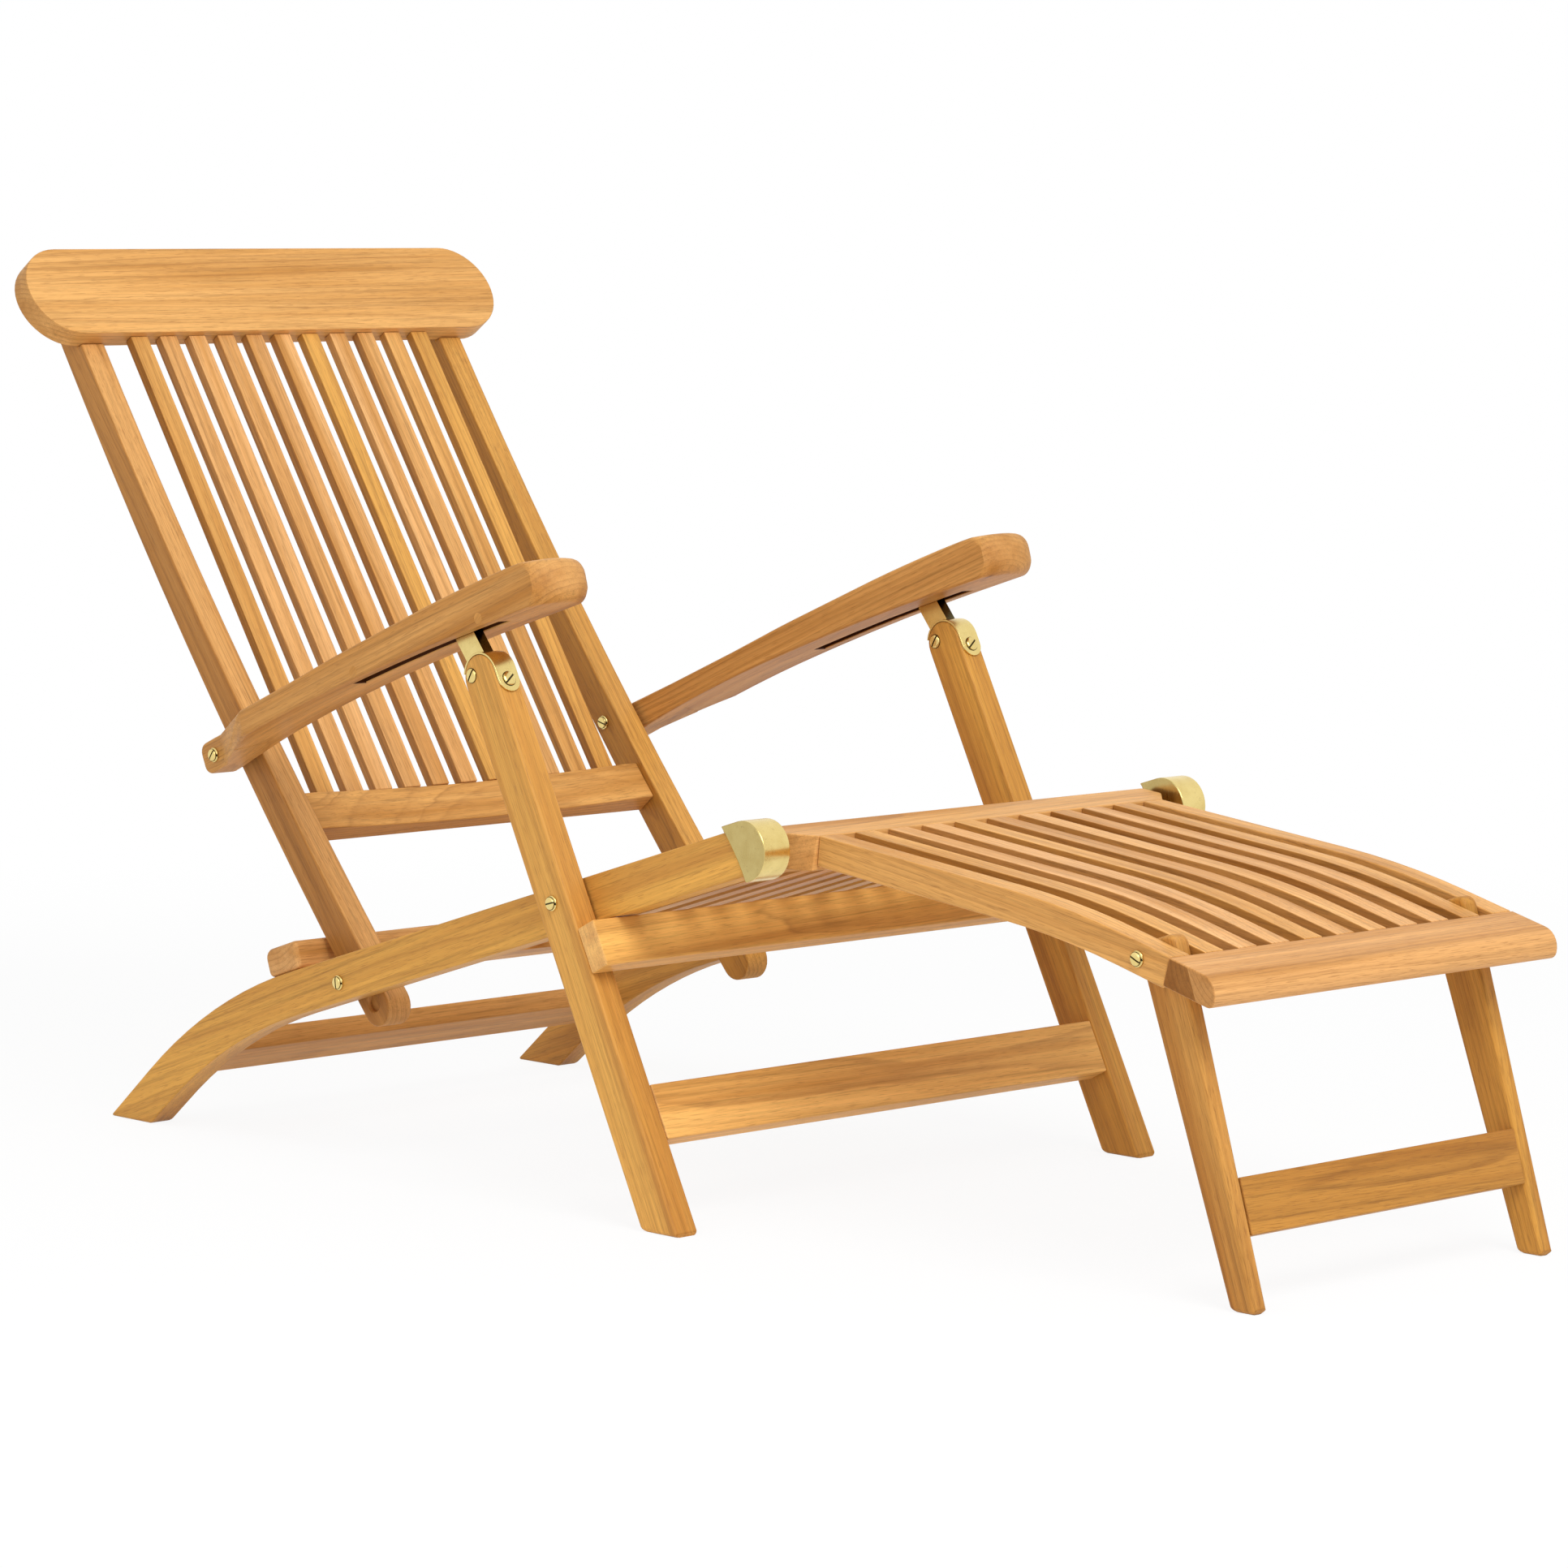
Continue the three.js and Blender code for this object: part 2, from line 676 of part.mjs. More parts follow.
function armSide() {
  const distances = Array.from({ length: armEdgeSteps + 1 }, (unused, i) =>
    THREE.MathUtils.lerp(-armTail, armLength, i / armEdgeSteps));
  const lower = distances.map((distance) => offsetAt(armRoute, distance, armBottomAt(distance)));
  const upper = distances.map((distance) => offsetAt(armRoute, distance, armTopAt(distance))).reverse();
  const corners = [];
  corners[0] = armRearRound;
  corners[lower.length - 1] = armFrontRound;
  corners[lower.length] = armFrontRound;
  corners[lower.length + upper.length - 1] = armRearRound;
  return plate(roundCorners([...lower, ...upper], corners), armInner, armOuter);
}

// The plan outline: a bowed nose, straight sides and a taper to the rear on the outer side
function armPlan() {
  const end = stationAt(armRoute, armLength);
  const along = polar(end.heading, 1);
  const noseReach = end.place.clone().sub(armPivot).dot(along);
  const rearReach = -armTail - overrun;
  const half = armWidth / 2;
  const radius = (half * half + armNoseBulge * armNoseBulge) / (2 * armNoseBulge);
  const reach = THREE.MathUtils.radToDeg(Math.asin(half / radius));
  const nose = arcPoints(point(noseReach - radius, armInner + half), radius, -reach, reach);
  const outline = [
    point(rearReach, armInner),
    ...nose,
    point(armTaperLength, armOuter),
    point(armRearFlat, armRearOuter),
    point(rearReach, armRearOuter),
  ];
  const options = { depth: armLength, bevelEnabled: false };
  const geometry = new THREE.ExtrudeGeometry(new THREE.Shape(outline), options);
  const up = polar(end.heading + quarterTurn, 1);
  const placing = new THREE.Matrix4().makeBasis(
    new THREE.Vector3(along.x, 0, along.y), new THREE.Vector3(0, 1, 0), new THREE.Vector3(up.x, 0, up.y));
  placing.setPosition(armPivot.x, 0, armPivot.y);
  return solidOf(geometry.translate(0, 0, -armLength / 2).applyMatrix4(placing));
}

function arm() {
  const slot = plate(
    band(armRoute, armSlotStart, armSlotEnd,
      (distance) => armBottomAt(distance) + armSlotDepth, (distance) => armBottomAt(distance) - overrun),
    legMiddle - armSlotWidth / 2, legMiddle + armSlotWidth / 2);
  return armSide()
    .intersect(armPlan())
    .subtract(slot)
    .subtract(boltHole(armPivot, armInner - overrun, armOuter + overrun));
}
addPair('arm', arm(), teak);
addPair('arm_bolt', bolt(armPivot, backRailInner, armRearOuter,
  { nut: true, collar: [backRailOuter + fitGap, armInner - fitGap] }), brass);

// Front legs with round tops
const legTop = moved(legPivot, legLean, legRise);
const legHalf = legDepth / 2;

function legProfile(growth) {
  const half = legHalf + growth;
  const frontPoint = moved(legTop, legLean - quarterTurn, half);
  const rearPoint = moved(legTop, legLean + quarterTurn, half);
  return [
    toFloor(frontPoint, legLean),
    ...endRound(legTop, half, legLean),
    toFloor(rearPoint, legLean),
  ];
}
addPair('front_leg', plate(legProfile(0), legInner, legOuter)
  .subtract(boltHole(legPivot, legInner - overrun, legOuter + overrun)), teak);
addPair('leg_bolt', bolt(legPivot, seatHalfWidth, legOuter,
  { nut: true, collar: [seatRailOuter + fitGap, legInner - fitGap] }), brass);

// Boards of the front leg frame
const legRoute = route(legPivot, legLean - halfTurn, [[legRise, 0]]);

add('leg_upper_board', plate(
  band(legRoute, upperBoardPlace, upperBoardPlace + upperBoardHeight,
    legHalf + fitGap + upperBoardThick, legHalf + fitGap), -legOuter, legOuter), teak());

add('leg_stretcher', plate(
  band(legRoute, legStretcherPlace, legStretcherPlace + legStretcherHeight,
    legHalf, legHalf - legStretcherThick), -legInner + fitGap, legInner - fitGap), teak());

// Brackets: a strap over the leg top with a round ear on the front face, and a tongue into the arm's slot
function legBracket() {
  const inside = legHalf + fitGap;
  const outside = inside + strapThick;
  const frontHeading = legLean - quarterTurn;
  const near = legMiddle - strapWidth / 2;
  const far = legMiddle + strapWidth / 2;
  const foot = (radius) => moved(moved(legTop, frontHeading, radius), legLean, -earDrop);
  const strap = plate([
    foot(outside),
    ...arcPoints(legTop, outside, frontHeading, frontHeading + strapSweep),
    ...arcPoints(legTop, inside, frontHeading + strapSweep, frontHeading),
    foot(inside),
  ], near, far);
  const earOutline = endRound(point(0, -earDrop), strapWidth / 2, -quarterTurn);
  const ear = extruded(earOutline, strapThick, moved(legTop, frontHeading, inside), legLean, legMiddle);
  const tongueEnd = moved(legTop, tongueLean, tongueReach);
  const tongue = plate(capsule(legTop, tongueEnd, tongueRadius),
    legMiddle - tongueThick / 2, legMiddle + tongueThick / 2)
    .subtract(plate(legProfile(fitGap), legInner - overrun, legOuter + overrun));
  return strap.add(ear).add(tongue);
}

function capsule(from, to, radius) {
  const heading = THREE.MathUtils.radToDeg(to.clone().sub(from).angle());
  return [
    ...endRound(to, radius, heading),
    ...endRound(from, radius, heading + halfTurn),
  ];
}
addPair('leg_bracket', legBracket(), brass);

// Footrest
const toeBend = footrestToeSlope - footrestSlope;
const footrestRoute = route(point(footrestRear, footrestRearTop), -footrestSlope, [
  [footrestRun, 0],
  [THREE.MathUtils.degToRad(toeBend) * footrestBendRadius, -toeBend],
  [footrestToeRun + footrestNoseWidth, 0],
]);
const noseStart = footrestRun + footrestRoute.stretches[1][0] + footrestToeRun;
const railStart = footrestRearWidth + fitGap;
const railEnd = noseStart - fitGap;

// The rear rail's plan, chamfered from its ends to the side rails' outer faces
function footrestRearPlan() {
  const front = offsetAt(footrestRoute, footrestRearWidth, 0).x + overrun;
  const chamfer = footrestRearChamfer + overrun;
  const rear = footrestRear - overrun;
  const outline = [
    point(rear, -footrestRearHalfLength),
    point(front - chamfer, -footrestRearHalfLength),
    point(front, -footrestRearHalfLength + chamfer),
    point(front, footrestRearHalfLength - chamfer),
    point(front - chamfer, footrestRearHalfLength),
    point(rear, footrestRearHalfLength),
  ];
  const options = { depth: 2 * footrestRearWidth, bevelEnabled: false };
  const geometry = new THREE.ExtrudeGeometry(new THREE.Shape(outline), options);
  return solidOf(geometry.translate(0, 0, hingeZ - footrestRearWidth));
}

function footrestRearRail() {
  const corners = [
    offsetAt(footrestRoute, 0, 0),
    offsetAt(footrestRoute, 0, -footrestRearThick),
    offsetAt(footrestRoute, footrestRearWidth, -footrestRearThick),
    offsetAt(footrestRoute, footrestRearWidth, 0),
  ];
  const profile = roundCorners(corners, [footrestRearRound, footrestRearRound, 0, 0]);
  const pocketEnd = hingePinInner - fitGap;
  return plate(profile, -footrestRearHalfLength, footrestRearHalfLength)
    .intersect(footrestRearPlan())
    .subtract(disc(hinge, hingePinRadius + fitGap, pocketEnd, footrestRearHalfLength + overrun))
    .subtract(disc(hinge, hingePinRadius + fitGap, -footrestRearHalfLength - overrun, -pocketEnd));
}
add('footrest_rear_rail', footrestRearRail(), teak());

const footBoltEnd = footLegInner + boltEndWood;

addPair('footrest_rail', plate(
  band(footrestRoute, railStart, railEnd, 0, -footrestRailDepth), footrestRailInner, footrestRailOuter)
  .subtract(boltHole(footLegPivot, footrestRailInner - overrun, footrestRailOuter + overrun)), teak);

function footrestFrontRail() {
  const noseEnd = noseStart + footrestNoseWidth;
  const corners = [
    offsetAt(footrestRoute, noseStart, 0),
    offsetAt(footrestRoute, noseStart, -footrestNoseThick),
    offsetAt(footrestRoute, noseEnd, -footrestNoseThick),
    offsetAt(footrestRoute, noseEnd, 0),
  ];
  const halfLength = footrestRailOuter + footrestNoseOverhang;
  return plate(roundCorners(corners, [0, 0, footrestNoseBottomRound, footrestNoseTopRound]), -halfLength, halfLength);
}
add('footrest_front_rail', footrestFrontRail(), teak());

for (let i = 0; i < footrestSlatCount; i += 1) {
  const middle = (i - (footrestSlatCount - 1) / 2) * (footrestSlatWidth + footrestSlatGap);
  const profile = band(footrestRoute, railStart, railEnd, 0, -footrestSlatThick);
  add(`footrest_slat_${i + 1}`,
    plate(profile, middle - footrestSlatWidth / 2, middle + footrestSlatWidth / 2), teak());
}

// Footrest legs
const footLegFoot = point(footLegFootX, 0);
const footLegLean = THREE.MathUtils.radToDeg(footLegPivot.clone().sub(footLegFoot).angle());

function footLegProfile() {
  const topFront = moved(footLegPivot, footLegLean - quarterTurn, footLegTopWidth / 2);
  const topRear = moved(footLegPivot, footLegLean + quarterTurn, footLegTopWidth / 2);
  const halfFoot = footLegFootWidth / 2;
  const footFront = point(footLegFootX + halfFoot, 0);
  const footRear = point(footLegFootX - halfFoot, 0);
  return roundCorners([
    footFront,
    moved(topFront, footLegLean, footLegTopRise),
    moved(topRear, footLegLean, footLegTopRise),
    footRear,
  ], [0, footLegTopRound, footLegTopRound, 0]);
}
addPair('footrest_leg', plate(footLegProfile(), footLegInner, footLegOuter)
  .subtract(boltHole(footLegPivot, footBoltEnd - fitGap, footLegOuter + overrun)), teak);
addPair('footrest_bolt', bolt(footLegPivot, footBoltEnd, footrestRailOuter, { nut: false }), brass);

// Stretcher between the footrest legs, flush with their front faces
function footStretcher() {
  const halfAt = (distance) => THREE.MathUtils.lerp(
    footLegTopWidth, footLegFootWidth, distance / footLegPivot.distanceTo(footLegFoot)) / 2;
  const path = route(footLegPivot, footLegLean - halfTurn, [[footStretcherPlace, 0]]);
  const end = footStretcherPlace + footStretcherHeight;
  const halfLength = footLegInner - fitGap;
  return plate(band(path, footStretcherPlace, end, halfAt,
    (distance) => halfAt(distance) - footStretcherThick), -halfLength, halfLength);
}
add('footrest_stretcher', footStretcher(), teak());

// The origin is below the middle of the chair, on the floor
chair.updateMatrixWorld(true);
const middleX = new THREE.Box3().setFromObject(chair).getCenter(new THREE.Vector3()).x;
chair.position.x = -middleX;
chair.updateMatrixWorld(true);

export default chair;
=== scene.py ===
import json
import math
import random

import bmesh
import bpy
import numpy as np
from mathutils import Matrix, Vector


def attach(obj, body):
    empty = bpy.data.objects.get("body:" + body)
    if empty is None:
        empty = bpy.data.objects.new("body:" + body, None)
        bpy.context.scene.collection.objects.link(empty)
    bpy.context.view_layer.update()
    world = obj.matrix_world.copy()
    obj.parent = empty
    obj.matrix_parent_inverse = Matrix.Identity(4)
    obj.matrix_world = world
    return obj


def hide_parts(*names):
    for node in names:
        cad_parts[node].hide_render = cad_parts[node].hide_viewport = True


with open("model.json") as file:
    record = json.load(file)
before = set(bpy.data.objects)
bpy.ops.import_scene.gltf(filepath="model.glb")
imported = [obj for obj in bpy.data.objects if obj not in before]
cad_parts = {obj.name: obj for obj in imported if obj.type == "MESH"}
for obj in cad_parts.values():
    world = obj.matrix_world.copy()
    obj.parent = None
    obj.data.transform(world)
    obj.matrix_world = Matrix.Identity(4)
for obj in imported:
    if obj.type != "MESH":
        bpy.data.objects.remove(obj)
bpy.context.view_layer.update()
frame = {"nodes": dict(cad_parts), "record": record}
nodes = frame["nodes"]
bodies = frame["record"]["behaviour"]["bodies"]
body_of = {node: body for body, names in bodies.items() for node in names}

# Sizes and places are named in mm and turned into metres where they are used. Places on the side
# profiles are X and Z from the hinges' datum, which lies SHIFT in front of the chair's middle.
MM = 0.001
SHIFT = 78.957
SIDES = (("left", 1), ("right", -1))

# The axes of hinges and bolts, and how far around them the edges stay crisp
PIVOTS = {"back": (-348, 163), "arm": (-524, 356), "leg": (-23, 267), "hinge": (188, 325), "foot": (575, 271)}
PIVOT_CLEAR = 6.5

# The front leg: the middle of its round top, its lean in degrees, half its width, and its places along Y
LEG_TOP = (-117.05, 453.2)
LEG_LEAN = 116.8
LEG_HALF = 20
LEG_OUTER = 293.2
LEG_MIDDLE = 280.7
LEG_INNER = 268.2

# The arm: its lean in degrees, the slot under it with its reach from the pivot, and its nose
ARM_LEAN = 20
SLOT_HALF = 7
SLOT_START = 238
SLOT_REACH = 465
SLOT_ROUND = 1.0
SLOT_SHARP = 50
NOSE_LEAN = 16.4
NOSE_BULGE = 13
NOSE_ROUND = 15
NOSE_RUN = 8
NOSE_STEPS = 8

# Kinds that stand on the floor on rounded soles
SOLED = ("front_leg", "footrest_leg", "seat_rail")
SOLE_ROUND = 4

# The lighter front part of the footrest's front rail, and the normal of the plane behind it
RAIL_NOSE = 24
RAIL_SPLIT = (0.94, 0, 0.34)

# The seat panel: where it starts, its slope in degrees, and its boards as measured from there
SEAT_START = (188, 327)
SEAT_SLOPE = 196.7
SEAT_HALF = 239.7
SEAT_TOP = -9
CROSS_BOTTOM = 11
CROSS_RAILS = ((35, 79, 0.4, 0.97), (412, 462, 0.3, 0.95))  # from, to, tone and value
SLAT_SPAN = (79.1, 411.9)
SLAT_BOTTOM = 5
SLAT_COUNT = 11
SLAT_PITCH = 39
SLAT_HALF = 11
BOARD_ROUND = 1.0

# How dark the painted shade is in places that get little light, and how dark the heartwood shows, as a share
# of the colour around them
SLOT_SHADE = 0.12
TONGUE_SHADE = 0.12
HEART_SHADE = 0.6
SCREW_PAINTED_SHADE = 0.1

# How each kind of wooden piece is cut: edge round in mm, across the chair or not, distance to the pith
# in both directions across the grain in mm, tilt of the pith, tone from peach 0 to gold 1, value, and
# the share of that value on the faces to the left and right. That share is partly the wood's deeper
# colour on the sides and partly painted shade on faces that get less light
WOOD = {
    "head_rail": (1.2, True, (-52, 75), (0.035, 0.02), 0.75, 1.04, 0.86),
    "back_rail": (2.0, False, (20, 70), (0.01, 0.02), 0.35, 0.87, 0.66),
    "back_cross_rail": (1.4, True, (15, 80), (0.02, 0.015), 0.4, 0.98, 1.0),
    "back_slat": (1.0, False, (60, 30), (0.012, 0.01), 0.4, 1.0, 0.66),
    "arm": (2.6, False, (75, 18), (0.03, 0.01), 0.5, 0.9, 0.9),
    "front_leg": (2.2, False, (50, 60), (0.01, 0.015), 0.9, 0.9, 1.0),
    "leg_upper_board": (1.6, True, (10, 75), (0.03, 0.02), 0.5, 1.15, 1.0),
    "leg_stretcher": (1.6, True, (10, 80), (0.02, 0.02), 0.35, 1.12, 1.0),
    "seat_rail": (1.6, False, (30, 75), (0.01, 0.01), 0.85, 0.9, 0.98),
    "rear_stretcher": (1.4, True, (10, 60), (0.02, 0.01), 0.4, 0.88, 1.0),
    "back_stop_rail": (5, True, (30, 60), (0.02, 0.01), 0.3, 0.92, 1.0),
    "footrest_rear_rail": (1.5, True, (20, 70), (0.02, 0.01), 0.15, 1.0, 0.74),
    "footrest_front_rail": (1.6, True, (30, 45), (0.02, 0.01), 0.45, 0.88, 0.8),
    "footrest_rail": (1.4, False, (40, 60), (0.01, 0.02), 0.6, 0.98, 0.86),
    "footrest_slat": (0.9, False, (35, 70), (0.01, 0.012), 0.25, 1.0, 0.62),
    "footrest_leg": (3.5, False, (60, 40), (0.01, 0.02), 0.95, 0.76, 0.94),
    "footrest_stretcher": (1.5, True, (10, 70), (0.02, 0.02), 0.7, 0.66, 1.0),
}

# Between which limits each piece's own draws change its row: shares of the pith's distance, of its tilt
# and of the value, and what is added to the tone. The last is where along the grain it starts, in m.
PITH_DRAW = (0.75, 1.35)
TILT_DRAW = (-1.2, 1.2)
VALUE_DRAW = (0.94, 1.06)
TONE_DRAW = (-0.45, 0.45)
START_DRAW = (0, 40)

# The seat's boards: pith and tilt in metres, side share, and between which limits tone and value are drawn.
# The side share is partly the boards' deeper side colour and partly painted shade between the slats
BOARD_CUT = ((0.06, 0.04), (0.01, 0.01))
BOARD_SIDE_TONE_AND_SHADE = 0.7
SLAT_TONE_DRAW = (0.1, 0.8)
SLAT_VALUE_DRAW = (0.93, 1.05)

# How far a face turns to the side before its side share starts, and over how much more it grows to the
# whole. The same for end grain. All are cosines, and so are the limits for a face that counts as facing
# a direction, as square to it, and as going on smoothly from a vertex.
SIDE_FROM, SIDE_OVER = 0.25, 0.6
END_FROM, END_OVER = 0.55, 0.35
FACING = 0.7
SQUARE = 0.95
SMOOTH = 0.8

# The first seed of each group of pieces, of the draws for the seat's slats, and of the brass
WOOD_SEED, RAIL_SEED, SLAT_SEED, PLUG_SEED = 11, 301, 310, 500
SLAT_DRAW_SEED = 400
BRASS_SEED, SCREW_SEED = 50, 90

# The brass fittings' edge rounds in mm and the painted shade on their cheeks, the faces to the left and
# right, by kind and for all others
BRASS_ROUND = {"hinge_cap": 1.1, "leg_bracket": 0.3}
BRASS_ROUND_ELSE = 0.25
CHEEK_PAINTED_SHADE = {"hinge_cap": 0.68}
CHEEK_PAINTED_SHADE_ELSE = 0.95

# Screws on the leg tops: place out and along the leg, head's radius and height, and turn in degrees
EAR_SCREW = (LEG_HALF + 2.0, -11, 6.4, 2.2, 35)
LEG_SCREW = (-8.8, 5.7, 6.2, 1.8, 60)

# Bolt heads: largest radius, height, how deep they sit, how near to a bolt's end a point lies on its rim,
# and the first head's turn and the step to the next in degrees
BOLT_RADIUS, BOLT_HEIGHT, BOLT_SINK, BOLT_RIM = 6.6, 1.7, 0.2, 0.3
BOLT_TURN, BOLT_TURN_STEP = 25, 70

# Plugs on the arms' outer faces: places on the side profile and along Y, radius, depth, how proud they
# stand, edge round, number of sides, and their pith, tilt, tone and value
ARM_PLUGS = ((-279, 449), (-108, 505))
ARM_FACE = 302
PLUG_RADIUS, PLUG_DEPTH, PLUG_PROUD, PLUG_ROUND = 5, 1, 0.12, 0.1
PLUG_SIDES = 28
PLUG_CUT = ((0.03, 0.02), (0.02, 0.02), 0.5, 0.86)

# How near points in a solid count as doubled, and how small a sliver is that a round leaves, both in
# metres, and within how many degrees faces are merged
DOUBLED = 2e-6
SLIVER = 2e-5
FLAT_ANGLE = 0.5


def place(x, y, z):
    """A point given in mm from the side profiles' datum, in the row frame in metres."""
    return Vector(((x + SHIFT) * MM, y * MM, z * MM))


def heading(degrees):
    """A unit direction in the X and Z plane."""
    return Vector((math.cos(math.radians(degrees)), 0, math.sin(math.radians(degrees))))


def leg_point(out, along, y):
    """A point beside the leg's top: out towards its front, and along its lean, in mm."""
    spot = Vector((LEG_TOP[0], y, LEG_TOP[1]))
    spot += heading(LEG_LEAN - 90) * out + heading(LEG_LEAN) * along
    return place(*spot)


def clipped(value):
    return min(1, max(0, value))


def kind_of(node):
    """A node's name without its side and its number."""
    bare = node.removeprefix("left_").removeprefix("right_")
    return bare.rstrip("0123456789").rstrip("_")


# ---------------------------------------------------------------- materials

def wired(tree):
    """Short makers of nodes and links for one node tree."""
    def make(kind, **settings):
        new = tree.nodes.new(kind)
        for key, value in settings.items():
            setattr(new, key, value)
        return new

    def link(source, target):
        tree.links.new(source, target)

    def calc(operation, first, second=None, third=None, clamp=False):
        new = make("ShaderNodeMath", operation=operation, use_clamp=clamp)
        for socket, value in zip(new.inputs, (first, second, third)):
            if value is None:
                continue
            if isinstance(value, (int, float)):
                socket.default_value = value
            else:
                link(value, socket)
        return new.outputs[0]

    def mix(factor, first, second, blend="MIX"):
        new = make("ShaderNodeMix", data_type="RGBA", blend_type=blend)
        for socket, value in ((new.inputs[0], factor), (new.inputs[6], first), (new.inputs[7], second)):
            if isinstance(value, (int, float)):
                socket.default_value = value
            elif isinstance(value, tuple):
                socket.default_value = (*value, 1)
            else:
                link(value, socket)
        return new.outputs[2]

    def noise(vector, scale, detail=2.0, roughness=0.5):
        stretch = make("ShaderNodeVectorMath", operation="MULTIPLY")
        link(vector, stretch.inputs[0])
        stretch.inputs[1].default_value = scale
        new = make("ShaderNodeTexNoise", noise_dimensions="3D")
        new.inputs["Scale"].default_value = 1.0
        new.inputs["Detail"].default_value = detail
        new.inputs["Roughness"].default_value = roughness
        link(stretch.outputs[0], new.inputs["Vector"])
        return new.outputs["Fac"]

    def ramp(value, *stops):
        """A ramp of greys. A stop is its position and its level."""
        new = make("ShaderNodeValToRGB")
        elements = new.color_ramp.elements
        while len(elements) < len(stops):
            elements.new(0.5)
        for element, (position, level) in zip(elements, stops):
            element.position = position
            element.color = (level, level, level, 1)
        link(value, new.inputs[0])
        return new.outputs[0]

    return make, link, calc, mix, noise, ramp


def new_material(name):
    material = bpy.data.materials.new(name)
    material.use_nodes = True
    material.node_tree.nodes.clear()
    return material, wired(material.node_tree)


def attribute(make, name, output="Fac"):
    return make("ShaderNodeAttribute", attribute_name=name).outputs[output]


def surfaced(make, link, colour, rough, height, strength, distance):
    """Joins a colour, a roughness and a bump of some strength and depth in one surface, and returns it."""
    surface = make("ShaderNodeBsdfPrincipled")
    link(colour, surface.inputs["Base Color"])
    link(rough, surface.inputs["Roughness"])
    bump = make("ShaderNodeBump")
    bump.inputs["Strength"].default_value = strength
    bump.inputs["Distance"].default_value = distance
    link(height, bump.inputs["Height"])
    link(bump.outputs[0], surface.inputs["Normal"])
    output = make("ShaderNodeOutputMaterial")
    link(surface.outputs[0], output.inputs["Surface"])
    return surface


def seen_directly(make, calc):
    """1 for rays from the camera, also by way of a reflection or glass, and 0 for all other light."""
    path = make("ShaderNodeLightPath")
    either = calc("MAXIMUM", path.outputs["Is Camera Ray"], path.outputs["Is Glossy Ray"])
    return calc("MAXIMUM", either, path.outputs["Is Transmission Ray"])


